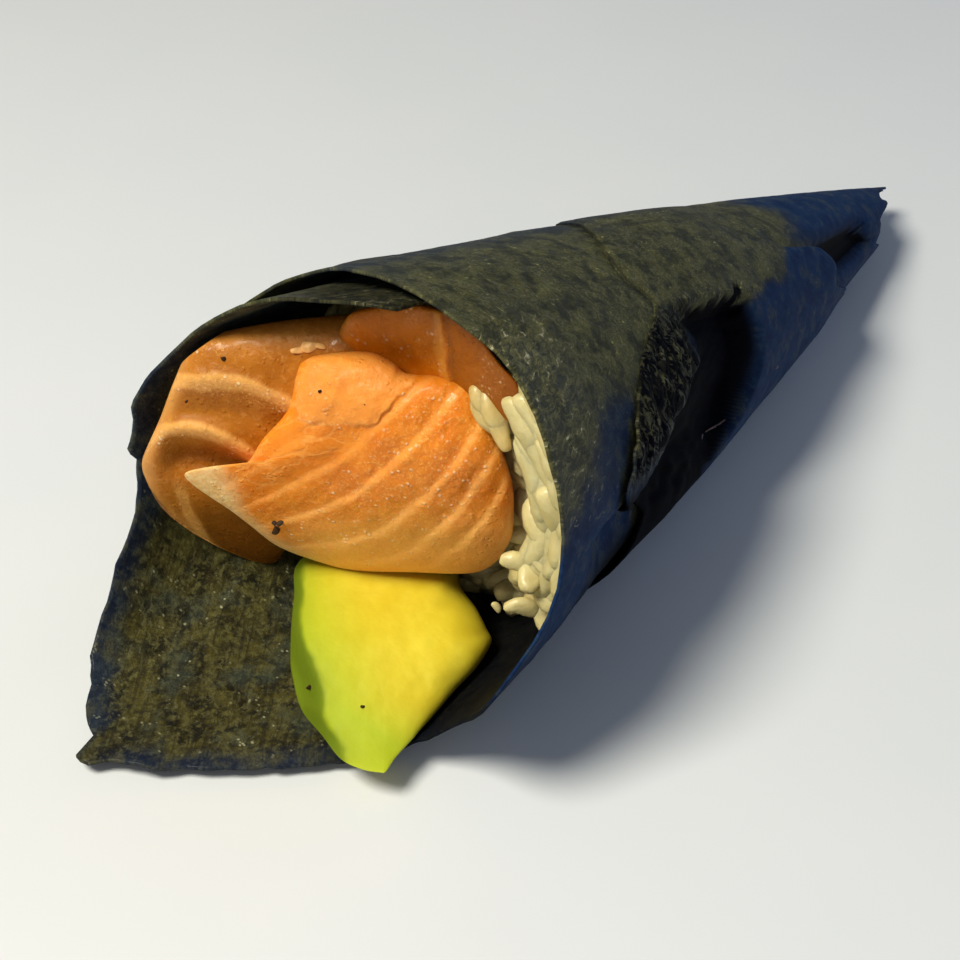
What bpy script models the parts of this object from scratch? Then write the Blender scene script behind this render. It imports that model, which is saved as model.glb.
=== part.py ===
"""Salmon temaki hand roll, lying on its side.

A half sheet of nori, 105 x 190 mm, is rolled a little over two turns round a slim cone.
The cone lies along X with its open mouth towards -X and its pointed tail towards +X.
Rice fills it, three slices of salmon fold out of the mouth, and a wedge of avocado rests
on the corner of the sheet that lies open in front. +Y is the left side seen from the mouth.
Lengths are in metres, angles in degrees, +Z is up and z = 0 is the table.
"""
import math

import bmesh
import bpy
import numpy as np
from mathutils import Vector
from mathutils.bvhtree import BVHTree

MM = 0.001

# The sheet of nori, in its own polar coordinates round the point of the cone.
SHEET_WIDTH = 105 * MM
SHEET_LENGTH = 190 * MM
POINT_TO_LONG_EDGE = 18 * MM
POINT_TO_SHORT_EDGE = 101.1 * MM
SHEET_THICKNESS = 0.5 * MM
PLY_PITCH = 0.95 * MM

# The cone that the sheet is rolled on.
HALF_ANGLE = 11.06
OGIVE = 0.156
REFERENCE_SLANT = 120 * MM
UPRIGHT_STRETCH = 1.056
LEAN = 0.095
TAIL_LIFT = 0.93 * MM
PRESSED_FLAT = 0.4 * MM

# Turns are angles round the cone's axis, counted on as the sheet goes round it.
# 0 is the right side seen from the mouth, 90 the top, 180 the left, 270 the underside.
FIRST_TURN = 96
OPEN_CORNER_TURN = 240
UNDERSIDE_TURN = 630
LAST_TURN = 840
FLUSH_TURN = 600
TURN_STEP = 12
SLANT_STEP = 6.5 * MM

# The corner that lies open in front of the mouth.
OPEN_CORNER_AIM = 4.6
OPENING_STARTS = 117 * MM
OPENING_ENDS = 150 * MM
INNER_RIM_SLANT = 127 * MM

# How the rolled sheet departs from the plain cone.
DENT_DEPTH = 3.4 * MM
DENT_TAIL_SLANT = 78 * MM
LEFT_BULGE = 1.8 * MM
TOP_RIM_SINK = 1.9 * MM
SEAM_LIFT_AT_MOUTH = 0.6 * MM
SEAM_LIFT_AT_TAIL = 0.9 * MM

# The gap that touching pieces keep, and the size of what a cut may weld.
GAP = 0.35 * MM
MERGE_DISTANCE = 0.03 * MM

# The filling.
SLICE_THICKNESS = 8 * MM
EDGE_DEPTH_SHARE = 0.3
RICE_TAIL_SLANT = 34 * MM
RICE_FRONT_SLANT = 121 * MM
RICE_FRONT_RINGS = ((0.86, 1.5), (0.6, 2.5), (0.3, 2.5))

# The tilted plane that the salmon's outlines are drawn on, in front of the mouth.
FACE_CENTRE = np.array([-118, 0, 24]) * MM
FACE_TURN = 50.61
FACE_RISE = 40.63


def smooth(x, low, high):
    """0 below low, 1 above high, and a smooth S between them."""
    t = np.clip((np.asarray(x, float) - low) / (high - low), 0, 1)
    return t * t * (3 - 2 * t)


def bell(x, centre, width):
    """A bell of height 1 round centre."""
    return np.exp(-((x - centre) / width) ** 2)


# ---------------------------------------------------------------- the rolled sheet

def sheet_angle(turn):
    """Polar angle in the flat sheet, in radians, of a direction round the cone."""
    corner = math.atan2(SHEET_WIDTH + POINT_TO_LONG_EDGE, POINT_TO_SHORT_EDGE)
    return corner + np.radians(turn - 233.5) * math.sin(math.radians(HALF_ANGLE))


def front_edge(turn):
    """Slant from the cone's point to the sheet's edge at the mouth.

    In the flat sheet this is a short edge, then a long edge, then the other short edge.
    """
    phi = sheet_angle(turn)
    wavy_end = POINT_TO_SHORT_EDGE + 3.5 * MM - 7.7 * MM * smooth(turn, 165, 208)
    wavy_end = wavy_end - 1.2 * MM * smooth(turn, 215, OPEN_CORNER_TURN)
    first_short = wavy_end / np.cos(np.minimum(phi, 1.2))
    long_edge = (SHEET_WIDTH + POINT_TO_LONG_EDGE) / np.sin(phi)
    last_short = (SHEET_LENGTH - POINT_TO_SHORT_EDGE) / np.maximum(np.cos(np.pi - phi), 0.5)
    skew = 8.7 * MM * smooth(turn, 650, 715) - 13.7 * MM * np.clip((turn - 723) / 105, 0, 1)
    inner = np.maximum(first_short, INNER_RIM_SLANT)
    outer = long_edge - 3 * MM * bell(turn, 294, 20)
    outer = np.where(turn > 560, np.minimum(outer, last_short + skew), outer)
    outer = outer - 12 * MM * bell(turn, 628, 24)
    return np.where(turn <= OPEN_CORNER_TURN, inner, outer)


def tail_edge(turn):
    """Slant from the cone's point to the sheet's other long edge, torn at the tail."""
    edge = POINT_TO_LONG_EDGE / np.sin(sheet_angle(turn))
    slanting = 1 * MM + 7.5 * MM * np.cos(np.radians(turn + 10))
    torn = 1.2 * MM * np.sin(np.radians(turn) * 5) + 0.9 * MM * np.sin(np.radians(turn) * 11 + 1)
    edge = edge + (slanting + torn) * (1 - smooth(turn, 620, 700))
    edge = edge + 14 * MM * (smooth(turn, 620, 720) - smooth(turn, 770, 835))
    return np.minimum(edge, front_edge(turn) - 3 * MM)


def ply_offset(turn):
    """How far the sheet lies outside the cone there: each turn lies on the one before."""
    return PLY_PITCH * (turn - FLUSH_TURN) / 360


def dent(turn, slant):
    """Depth pressed into the right flank, steep on the tail side, wrinkled out to the mouth."""
    side = (turn + 180) % 360 - 180
    edge = DENT_TAIL_SLANT + 0.0099 * MM * (side - 20) ** 2
    along = smooth(slant, edge - 5 * MM, edge + 5 * MM) * (1 - smooth(slant, edge + 8 * MM, edge + 24 * MM))
    across = smooth(side, -28, 0) * (1 - smooth(side, 38, 62))
    return DENT_DEPTH * along * across


def seam_lift(turn, slant):
    """The outer turn stands a little off the one below along its edges."""
    outer = smooth(turn, 640, 700)
    at_mouth = smooth(slant, front_edge(turn) - 9 * MM, front_edge(turn))
    at_tail = 1 - smooth(slant, tail_edge(turn), tail_edge(turn) + 9 * MM)
    return outer * (SEAM_LIFT_AT_MOUTH * at_mouth + SEAM_LIFT_AT_TAIL * at_tail * bell(turn, 750, 40))


def rolled(turn, slant, inset=0.0):
    """Point of the sheet's middle surface for a direction round the cone and a slant.

    The cone is a little swollen, leans to the right and is pressed flat underneath. Past the
    mouth the first turn opens out and sinks onto the table as a flap. An inset gives the
    surface that lies so much further in.
    """
    turn = np.asarray(turn, float)
    slant = np.asarray(slant, float)
    angle = np.radians(turn)
    half = math.radians(HALF_ANGLE) * (1 + OGIVE * (1 - slant / REFERENCE_SLANT))
    radius = slant * np.sin(half)
    upright = radius * UPRIGHT_STRETCH
    lift = TAIL_LIFT * (1 - np.clip(slant / REFERENCE_SLANT, 0, 1))
    outward = ply_offset(turn) - dent(turn, slant) - inset
    outward = outward + LEFT_BULGE * bell(turn % 360, 172, 38) * smooth(slant, 98 * MM, 128 * MM)
    outward = outward + seam_lift(turn, slant)
    first = 1 - smooth(turn, 200, 260)
    outward = outward - TOP_RIM_SINK * first * bell(turn, 98, 20) * smooth(slant, 106 * MM, 121 * MM)
    x = -slant * np.cos(half)
    y = -(radius + outward) * np.cos(angle) - LEAN * upright * (np.sin(angle) + 1)
    z = upright + lift - PRESSED_FLAT + (upright + outward) * np.sin(angle)
    open_turn = np.where(turn > 400, turn - 360, turn)
    aim = np.radians(OPEN_CORNER_AIM) + sheet_angle(OPEN_CORNER_TURN) - sheet_angle(open_turn)
    opened = smooth(slant, OPENING_STARTS, OPENING_ENDS) * smooth(open_turn, 194, 236)
    opened = opened * (1 - smooth(open_turn, 284, 322)) * (turn < 690)
    plies_below = np.maximum(0, ply_offset(UNDERSIDE_TURN) - ply_offset(turn))
    under = SHEET_THICKNESS / 2 + plies_below + inset
    x = x + (-slant * np.cos(aim) - x) * opened
    y = y + (slant * np.sin(aim) - y) * opened
    z = z + (under - z) * opened
    return np.stack([x, y, np.maximum(z, under)], -1)


def rolled_columns():
    """Slants of the mesh's points along each column of the sheet, from tail to mouth."""
    shared = np.arange(16 * MM, 160 * MM, SLANT_STEP)
    columns = []
    for turn in np.arange(FIRST_TURN, LAST_TURN + 1, TURN_STEP):
        near = float(tail_edge(turn))
        far = float(front_edge(turn))
        inside = shared[(shared > near + SLANT_STEP / 4) & (shared < far - SLANT_STEP / 4)]
        columns.append((turn, np.concatenate([[near], inside, [far]])))
    return columns


def stitch(first, second, slants_a, slants_b):
    """Triangles between two neighbouring columns of points, matched by their slants."""
    faces = []
    i = 0
    j = 0
    while i < len(first) - 1 or j < len(second) - 1:
        step_a = i < len(first) - 1 and (j == len(second) - 1 or slants_a[i + 1] <= slants_b[j + 1])
        if step_a:
            faces.append((first[i], first[i + 1], second[j]))
            i = i + 1
        else:
            faces.append((first[i], second[j + 1], second[j]))
            j = j + 1
    return faces


def make_nori(collection):
    columns = rolled_columns()
    points = []
    rows = []
    for turn, slants in columns:
        rows.append(list(range(len(points), len(points) + len(slants))))
        points.extend(rolled(np.full(len(slants), turn), slants))
    faces = []
    for k in range(len(columns) - 1):
        faces.extend(stitch(rows[k], rows[k + 1], columns[k][1], columns[k + 1][1]))
    mesh = bpy.data.meshes.new("nori")
    mesh.from_pydata([tuple(p) for p in points], [], faces)
    nori = bpy.data.objects.new("nori", mesh)
    collection.objects.link(nori)
    wall = nori.modifiers.new("Thickness", "SOLIDIFY")
    wall.thickness = SHEET_THICKNESS
    wall.offset = 0
    wall.use_even_offset = True
    return nori


# ---------------------------------------------------------------- soft pieces

def face_axes():
    """Right, up and outward directions of the tilted plane in front of the mouth."""
    turn = math.radians(FACE_TURN)
    rise = math.radians(FACE_RISE)
    right = np.array([math.cos(turn), -math.sin(turn), 0])
    up = np.array([math.sin(rise) * math.sin(turn), math.sin(rise) * math.cos(turn), math.cos(rise)])
    return right, up, np.cross(right, up)


def closed_curve(corners, samples):
    """A smooth closed curve through the given corners, evenly sampled."""
    corners = np.asarray(corners, float) * MM
    count = len(corners)
    place = np.arange(samples) * count / samples
    k = place.astype(int)
    t = (place - k)[:, None]
    before, start, end, after = (corners[(k + step) % count] for step in (-1, 0, 1, 2))
    tangent_a = (end - before) / 2
    tangent_b = (after - start) / 2
    return (start * (2 * t**3 - 3 * t**2 + 1) + end * (3 * t**2 - 2 * t**3)
            + tangent_a * (t**3 - 2 * t**2 + t) + tangent_b * (t**3 - t**2))


def make_slab(name, collection, outline, centre, front, back, samples=36, rings=6, fullness=3.0):
    """A soft slab on the tilted plane: an outline with a front and a back height over it.

    Both sides meet in a rounded edge nearer the front. Heights are functions of (right, up).
    """
    edge = closed_curve(outline, samples)
    centre = np.asarray(centre, float) * MM
    right, up, outward = face_axes()
    steps = np.sin(np.linspace(0, np.pi / 2, rings + 1))[1:]
    bm = bmesh.new()
    sides = []
    for height in (front, back):
        loops = []
        for share in steps:
            flat = centre + (edge - centre) * share
            top = front(flat[:, 0], flat[:, 1])
            base = back(flat[:, 0], flat[:, 1])
            middle = top + (base - top) * EDGE_DEPTH_SHARE
            level = middle + (height(flat[:, 0], flat[:, 1]) - middle) * (1 - share**fullness) ** 0.5
            where = FACE_CENTRE + flat[:, :1] * right + flat[:, 1:] * up + level[:, None] * outward
            loops.append(where)
        pole = centre[:1], centre[1:]
        tip = FACE_CENTRE + pole[0] * right + pole[1] * up + height(*pole) * outward
        sides.append((loops, tip))
    front_loops = [[bm.verts.new(p) for p in loop] for loop in sides[0][0]]
    back_loops = [[bm.verts.new(p) for p in loop] for loop in sides[1][0][:-1]]
    back_loops.append(front_loops[-1])
    for loops, tip, flip in ((front_loops, sides[0][1], False), (back_loops, sides[1][1], True)):
        pole = bm.verts.new(tip)
        for k in range(samples):
            nxt = (k + 1) % samples
            cap = (pole, loops[0][k], loops[0][nxt])
            bm.faces.new(cap[::-1] if flip else cap)
            for low, high in zip(loops[:-1], loops[1:]):
                quad = (low[k], high[k], high[nxt], low[nxt])
                bm.faces.new(quad[::-1] if flip else quad)
    bmesh.ops.recalc_face_normals(bm, faces=bm.faces)
    return link_mesh(name, bm, collection)


def front_height(u, v):
    """Front of the middle slice: a dome that leans right and rolls under at the bottom."""
    u = u / MM
    v = v / MM
    return MM * (9.5 + 0.258 * u + 0.648 * v - 0.0029 * u**2 - 0.0389 * v**2 - 0.01 * u * v)


def front_base(u, v):
    """Back of the middle slice, which thins out towards its pale tip on the left."""
    return front_height(u, v) - SLICE_THICKNESS * (0.35 + 0.65 * smooth(u, -22 * MM, -8 * MM))


def left_height(u, v):
    """Front of the left slice: steep, because it stands upright against the left wall."""
    u = u / MM + 17
    v = v / MM - 2
    return MM * (2 + 0.12 * u + 0.8 * v - 0.03 * v**2)


def back_height(u, v):
    """Front of the rear slice: parallel to the mouth and just inside it."""
    return 1.08 * u + 0.857 * v - 0.5 * MM


SALMON_FRONT = [(-21.5, -1), (-16.3, -6), (-10.1, -9.9), (-2, -11.6), (5, -11.5), (9.5, -11.6),
                (12.6, -6.5), (12.3, -0.8), (9.5, 6.4), (7, 8.3), (1.8, 9.2), (-0.6, 11),
                (-4.5, 12.2), (-8.6, 11), (-10.3, 7.2), (-11.7, 3.3), (-16, -0.2)]
SALMON_LEFT = [(-26.1, -0.8), (-24.6, -4.5), (-20.2, -9), (-16.2, -11.3), (-12.4, -9.8), (-7, -3),
               (-3, 4), (1, 10), (-0.5, 14.6), (-6, 15), (-13.5, 14.2), (-18.6, 12.4), (-22.8, 7)]
SALMON_BACK = [(-5.5, 13), (-3.5, 10), (1, 6.5), (6, 3.5), (11.2, 3.2), (12.4, 5.4), (10.4, 9.8),
               (6.6, 13.2), (1.6, 15.2), (-2.8, 15)]
AVOCADO = [(-10.8, -10.1), (-11.4, -16), (-11, -23.4), (-7.6, -28.8), (-1.5, -32.4), (2.2, -28.6),
           (6.4, -23.6), (9.8, -18.6), (7.6, -14.2), (5.8, -10), (0, -7.5), (-6, -7.5)]


def level_height(z, v):
    """Height over the tilted plane of the level z above the table."""
    rise = math.radians(FACE_RISE)
    return (z - FACE_CENTRE[2] - math.cos(rise) * v) / math.sin(rise)


def avocado_top(u, v):
    """Cut face of the wedge: it slopes down to the tip and away on the skin side."""
    top = 4.6 * MM + 5.7 * MM * smooth(v, -33 * MM, -15 * MM)
    skin = 4.4 * MM * (1 - smooth(u, -12 * MM, -6 * MM))
    return level_height(top - skin * smooth(v, -33 * MM, -26 * MM), v)


def avocado_base(u, v):
    """Underside of the wedge, lifted at the tip."""
    return level_height(1.7 * MM + 1.7 * MM * (1 - smooth(v, -32 * MM, -26 * MM)), v)


def make_rice(collection):
    """Rice packed in the cone: rings that follow the innermost turn, with a rough front."""
    directions = np.arange(FIRST_TURN, FIRST_TURN + 360, TURN_STEP)
    count = len(directions)
    shared = np.arange(16 * MM, 160 * MM, SLANT_STEP)
    slants = shared[(shared > RICE_TAIL_SLANT) & (shared < RICE_FRONT_SLANT - SLANT_STEP / 2)]
    closing = PLY_PITCH * smooth(directions, FIRST_TURN + 280, FIRST_TURN + 348)
    lumps = 0.25 * MM * np.sin(directions * 1.7)
    inset = SHEET_THICKNESS / 2 + 2 * GAP + closing + 0.25 * MM + lumps
    loops = [rolled(directions, np.full(count, slant), inset) for slant in slants]
    side = (directions + 180) % 360 - 180
    shown = smooth(side, -50, -8) * (1 - smooth(side, 52, 75))
    rim = RICE_FRONT_SLANT - 7 * MM * (1 - shown)
    loops.append(rolled(directions, rim, inset + 0.4 * MM))
    rim_loop = loops[-1]
    middle = rim_loop.mean(0)
    for share, sunk in RICE_FRONT_RINGS:
        loops.append(middle + (rim_loop - middle) * share + np.array([sunk * MM, 0, 0]))
    centre = middle + np.array([RICE_FRONT_RINGS[-1][1] * MM, 0, 0])
    tail = loops[0].mean(0) + np.array([3 * MM, 0, 0])
    bm = bmesh.new()
    rings = [[bm.verts.new(p) for p in loop] for loop in loops]
    for low, high in zip(rings[:-1], rings[1:]):
        for k in range(count):
            bm.faces.new((low[k], high[k], high[(k + 1) % count], low[(k + 1) % count]))
    for ring, pole in ((rings[0], bm.verts.new(tail)), (rings[-1], bm.verts.new(centre))):
        for k in range(count):
            bm.faces.new((pole, ring[k], ring[(k + 1) % count]))
    bmesh.ops.recalc_face_normals(bm, faces=bm.faces)
    return link_mesh("rice", bm, collection)


# ---------------------------------------------------------------- putting it together

def link_mesh(name, bm, collection):
    """Turn a bmesh into a linked object."""
    mesh = bpy.data.meshes.new(name)
    bm.to_mesh(mesh)
    bm.free()
    made = bpy.data.objects.new(name, mesh)
    collection.objects.link(made)
    return made


def bake(piece):
    """Replace a piece's mesh by its evaluated one, without modifiers."""
    depsgraph = bpy.context.evaluated_depsgraph_get()
    mesh = bpy.data.meshes.new_from_object(piece.evaluated_get(depsgraph))
    piece.modifiers.clear()
    piece.data = mesh


def island_area(island):
    """Area of the faces that touch a group of points."""
    faces = {face for vert in island for face in vert.link_faces}
    return sum(face.calc_area() for face in faces)


def keep_largest(piece):
    """Drop the slivers that a cut leaves loose."""
    bm = bmesh.new()
    bm.from_mesh(piece.data)
    bmesh.ops.remove_doubles(bm, verts=bm.verts, dist=MERGE_DISTANCE)
    left = set(bm.verts)
    islands = []
    while left:
        stack = [left.pop()]
        island = []
        while stack:
            vert = stack.pop()
            island.append(vert)
            for edge in vert.link_edges:
                other = edge.other_vert(vert)
                if other in left:
                    left.remove(other)
                    stack.append(other)
        islands.append(island)
    islands.sort(key=island_area)
    for island in islands[:-1]:
        bmesh.ops.delete(bm, geom=island, context="VERTS")
    bm.to_mesh(piece.data)
    bm.free()


def rest_on(piece, support, reach=12 * MM):
    """Raise a piece's underside wherever it would sink into what it rests on."""
    depsgraph = bpy.context.evaluated_depsgraph_get()
    tree = BVHTree.FromObject(support, depsgraph)
    for vert in piece.data.vertices:
        hit = tree.ray_cast(Vector((vert.co.x, vert.co.y, reach)), Vector((0, 0, -1)))
        if hit[0] is not None:
            vert.co.z = max(vert.co.z, hit[0].z + GAP)


def cut_by(piece, neighbour, cutters):
    """Cut a piece back by its neighbour, swollen by the gap that touching pieces keep."""
    depsgraph = bpy.context.evaluated_depsgraph_get()
    mesh = bpy.data.meshes.new_from_object(neighbour.evaluated_get(depsgraph))
    cutter = bpy.data.objects.new(neighbour.name + "_cutter", mesh)
    cutters.objects.link(cutter)
    cutter.hide_render = True
    cutter.display_type = "WIRE"
    bm = bmesh.new()
    bm.from_mesh(cutter.data)
    bm.normal_update()
    grown = [vert.co + vert.normal * GAP * min(vert.calc_shell_factor(), 2) for vert in bm.verts]
    for vert, place in zip(bm.verts, grown):
        vert.co = place
    bm.to_mesh(cutter.data)
    bm.free()
    cut = piece.modifiers.new("Cut", "BOOLEAN")
    cut.operation = "DIFFERENCE"
    cut.solver = "EXACT"
    cut.object = cutter
    bake(piece)
    keep_largest(piece)


def finish(piece, colour, roughness):
    """Give a piece its plain material and round shading."""
    material = bpy.data.materials.new(piece.name)
    material.use_nodes = True
    shader = material.node_tree.nodes["Principled BSDF"]
    shader.inputs["Base Color"].default_value = (*colour, 1)
    shader.inputs["Roughness"].default_value = roughness
    shader.inputs["Metallic"].default_value = 0
    piece.data.materials.clear()
    piece.data.materials.append(material)
    piece.data.shade_smooth()
    piece.data.set_sharp_from_angle(angle=math.radians(40))


def centre_on_base(pieces):
    """Move the whole roll so that the origin is under the middle of its box."""
    depsgraph = bpy.context.evaluated_depsgraph_get()
    boxes = [piece.evaluated_get(depsgraph).bound_box for piece in pieces]
    corners = np.array([list(corner) for box in boxes for corner in box])
    low = corners.min(0)
    middle = (low + corners.max(0)) / 2
    shift = Vector((-middle[0], -middle[1], -low[2]))
    for piece in pieces:
        for vert in piece.data.vertices:
            vert.co = vert.co + shift


def main():
    for old in list(bpy.data.objects):
        bpy.data.objects.remove(old, do_unlink=True)
    collection = bpy.data.collections.new("temaki")
    cutters = bpy.data.collections.new("cutters")
    bpy.context.scene.collection.children.link(collection)
    bpy.context.scene.collection.children.link(cutters)

    nori = make_nori(collection)
    rice = make_rice(collection)
    front = make_slab("salmon_front", collection, SALMON_FRONT, (-2, 1), front_height, front_base)
    left = make_slab("salmon_left", collection, SALMON_LEFT, (-14, 3), left_height,
                     lambda u, v: left_height(u, v) - SLICE_THICKNESS)
    back = make_slab("salmon_back", collection, SALMON_BACK, (4, 11), back_height,
                     lambda u, v: back_height(u, v) - SLICE_THICKNESS)
    avocado = make_slab("avocado", collection, AVOCADO, (-1, -18), avocado_top, avocado_base)

    rest_on(avocado, nori)
    rest_on(left, nori)
    cut_by(left, front, cutters)
    cut_by(back, front, cutters)
    cut_by(back, left, cutters)
    cut_by(left, avocado, cutters)
    cut_by(left, nori, cutters)
    for neighbour in (front, left, back, avocado):
        cut_by(rice, neighbour, cutters)

    pieces = (nori, rice, front, left, back, avocado)
    finish(nori, (0.045, 0.05, 0.028), 0.45)
    finish(rice, (0.86, 0.82, 0.66), 0.5)
    finish(front, (0.93, 0.42, 0.11), 0.35)
    finish(left, (0.86, 0.47, 0.2), 0.35)
    finish(back, (0.72, 0.33, 0.07), 0.35)
    finish(avocado, (0.83, 0.8, 0.14), 0.5)
    centre_on_base(pieces)


main()
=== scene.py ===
"""Salmon temaki hand roll, lying on its side on a pale table.

The part's frame is used throughout: +X runs from the open mouth to the tail, +Y to the left
seen from the mouth, +Z up, origin on the table under the middle of the roll's box. Shapes are
worked out in millimetres from the point of the cone and moved into that frame by SHIFT.
"""
import math

import bpy
import numpy as np
from mathutils import Matrix, Vector


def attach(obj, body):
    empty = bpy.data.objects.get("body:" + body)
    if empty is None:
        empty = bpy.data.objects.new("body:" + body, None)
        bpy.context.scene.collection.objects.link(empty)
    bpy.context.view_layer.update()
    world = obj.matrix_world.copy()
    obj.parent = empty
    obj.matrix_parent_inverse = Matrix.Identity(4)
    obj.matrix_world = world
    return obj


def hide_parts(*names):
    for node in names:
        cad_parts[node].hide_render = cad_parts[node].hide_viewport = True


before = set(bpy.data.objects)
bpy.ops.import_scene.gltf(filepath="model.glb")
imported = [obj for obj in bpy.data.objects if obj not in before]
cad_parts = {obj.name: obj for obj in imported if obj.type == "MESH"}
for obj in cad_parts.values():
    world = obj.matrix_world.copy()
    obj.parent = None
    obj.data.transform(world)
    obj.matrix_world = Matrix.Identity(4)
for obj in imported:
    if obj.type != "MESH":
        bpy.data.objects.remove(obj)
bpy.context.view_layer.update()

MM = 0.001
SHIFT = np.array([82.974, 1.121, 0.0])

# The sheet of nori in its own polar coordinates, and the cone that it is rolled on.
SHEET_WIDTH = 105
SHEET_LENGTH = 190
POINT_TO_LONG_EDGE = 18
POINT_TO_SHORT_EDGE = 101.1
WALL = 0.34
PLY_PITCH = 0.95
HALF_ANGLE = 11.06
OGIVE = 0.156
UPRIGHT_STRETCH = 1.056
LEAN = 0.095
MOUTH_SLANT = 120
POINT_LIFT = 0.93
FLAT_SPOT = 0.4
HOLLOW_DEPTH = 3.7
TAIL_FOLD_DEPTH = 2.2
FLAP_AIM = math.radians(4.6)
FIRST_TURN = 96
OPEN_CORNER_TURN = 240
LAST_TURN = 840


# ---------------------------------------------------------------- shaping helpers

def smooth(x, low, high):
    """Rises from 0 at low to 1 at high with level ends: 3 t^2 - 2 t^3."""
    t = np.clip((x - low) / (high - low), 0, 1)
    return t * t * (3 - 2 * t)


def bell(x, centre, width):
    """A round hump of height 1 that has faded out about two widths from its centre."""
    return np.exp(-(((x - centre) / width) ** 2))


def lattice_noise(x, y, seed):
    """Random values on a unit lattice, blended between corners with 3 t^2 - 2 t^3."""
    table = np.random.default_rng(seed).uniform(-1, 1, (64, 64))
    i = np.floor(x).astype(int)
    j = np.floor(y).astype(int)
    u = smooth(x - i, 0, 1)
    v = smooth(y - j, 0, 1)
    i, j, k, l = i % 64, j % 64, (i + 1) % 64, (j + 1) % 64
    low = table[i, j] * (1 - u) + table[k, j] * u
    high = table[i, l] * (1 - u) + table[k, l] * u
    return low * (1 - v) + high * v


def rough(x, y, cell, seed, octaves=3):
    """Lattice noise summed over octaves, each half as large and half as strong."""
    total = 0
    for n in range(octaves):
        total = total + lattice_noise(x / cell * 2**n + 7.3 * n, y / cell * 2**n, seed + n) / 2**n
    return total / 1.6


def ribbon(x, centre, width):
    """1 inside a band round the centre line and 0 outside, with soft sides."""
    return 1 - smooth(np.abs(x - centre), width * 0.4, width)


# ---------------------------------------------------------------- the rolled sheet

def sheet_angle(turn):
    """Polar angle on the flat sheet for a turn round the cone: turns shrink by sin(half)."""
    corner = math.atan2(SHEET_WIDTH + POINT_TO_LONG_EDGE, POINT_TO_SHORT_EDGE)
    return corner + np.radians(turn - 233.5) * math.sin(math.radians(HALF_ANGLE))


def front_edge(turn):
    """Slant from the cone's point to the sheet's edge at the mouth, with a cut, wavy outline.

    The first turn follows the sheet's short edge, a line at a fixed distance over cos(angle); the
    next ones its long edge, over sin(angle); the last one the other short edge, which slants
    back. Bells and steps take out the torn and trimmed places, and noise nicks the edge.
    """
    phi = sheet_angle(turn)
    short_end = POINT_TO_SHORT_EDGE + 3.5 - 6.9 * smooth(turn, 165, 208) - 2.0 * smooth(turn, 215, 240)
    first_short = short_end / np.cos(phi)
    long_edge = (SHEET_WIDTH + POINT_TO_LONG_EDGE) / np.sin(phi)
    last_short = (SHEET_LENGTH - POINT_TO_SHORT_EDGE) / np.maximum(np.cos(np.pi - phi), 0.5)
    skew = 8.7 * smooth(turn, 650, 715) - 13.7 * np.clip((turn - 723) / 105, 0, 1)
    shortest = 127 + 2.4 * bell(turn, 138, 24) + 2.2 * bell(turn, 162, 16)
    inner = np.maximum(np.where(turn < 330, first_short, 0), shortest)
    outer = long_edge - 3 * bell(turn, 294, 20) - 4 * bell(turn, 500, 28)
    outer = np.where(turn > 560, np.minimum(outer, last_short + skew), outer)
    outer = outer - 12 * bell(turn, 628, 24) - 5.5 * bell(turn, 776, 11) - 1.3 * bell(turn, 418, 14)
    outer = outer - 20 * (smooth(turn, 640, 664) - smooth(turn, 703, 735)) + 5 * bell(turn, 338, 15)
    edge = np.where(turn <= OPEN_CORNER_TURN, inner, outer)
    edge = edge - 1.7 * bell(turn, 239, 3) - 1.6 * bell(turn, 86, 7)
    nicks = lattice_noise(turn / 5.5, turn * 0, 3) + 0.6 * lattice_noise(turn / 2.0, turn * 0, 4)
    ragged = smooth(turn, 165, 190) * (1 - smooth(turn, 300, 320))
    return edge + nicks * (0.2 + 0.35 * ragged)


def tail_edge(turn):
    """Slant from the cone's point to the sheet's other long edge, torn at the tail."""
    edge = POINT_TO_LONG_EDGE / np.sin(sheet_angle(turn))
    slanting = 1.5 + 7.5 * np.cos(np.radians(turn + 10))
    torn = 1.2 * np.sin(np.radians(turn) * 5) + 0.9 * np.sin(np.radians(turn) * 11 + 1)
    torn = torn + 0.5 * lattice_noise(turn / 6, turn * 0, 5)
    edge = edge + (slanting + torn) * (1 - smooth(turn, 620, 700))
    edge = edge + 14 * (smooth(turn, 620, 720) - smooth(turn, 770, 835))
    edge = edge + 6 * smooth(turn, 764, 776) * (1 - smooth(turn, 790, 815))
    edge = edge + 4 * bell(turn, 738, 10)
    return np.minimum(edge, front_edge(turn) - 3)


def ply_offset(turn):
    """How far the sheet lies outside the cone there: each turn lies on the one before."""
    return PLY_PITCH * (turn - 600) / 360


def wrapped(turn):
    """The same direction as an angle between -180 and 180 from the right side."""
    return (turn + 180) % 360 - 180


def hollow_edges(turn, slant, ragged):
    """Signed distances into the crumpled hollow in the right flank: from its tail side, from its
    top (in degrees) and from its mouth side, all frayed by noise where ragged is 1."""
    side = wrapped(turn)
    around = side * 0.3
    tail_side = 76.2 + 0.0062 * np.maximum(0, 26 - side) ** 2
    frayed = 5.5 * rough(slant, around, 2.6, 11) + 4.5 * rough(slant, around * 0.5, 0.9, 13)
    top = 45 + 8 * smooth(slant, 76, 92) + ragged * frayed
    mouth_side = 89 + 12 * smooth(-side, -34, -12) + 14 * smooth(-side, -14, -4)
    mouth_side = mouth_side + ragged * 1.6 * rough(around, slant, 2.4, 12)
    return slant - tail_side, top - side, mouth_side - slant


def hollow(turn, slant, ragged=0.0):
    """Depth share of the hollow: steep at the tail side and the top, easing out to the mouth."""
    from_tail, from_top, from_mouth = hollow_edges(turn, slant, ragged)
    along = smooth(from_tail, -0.6, 2.8) * smooth(from_mouth, -7, 4)
    return along * smooth(from_top, -2, 5) * smooth(wrapped(turn), -24, 2)


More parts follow.
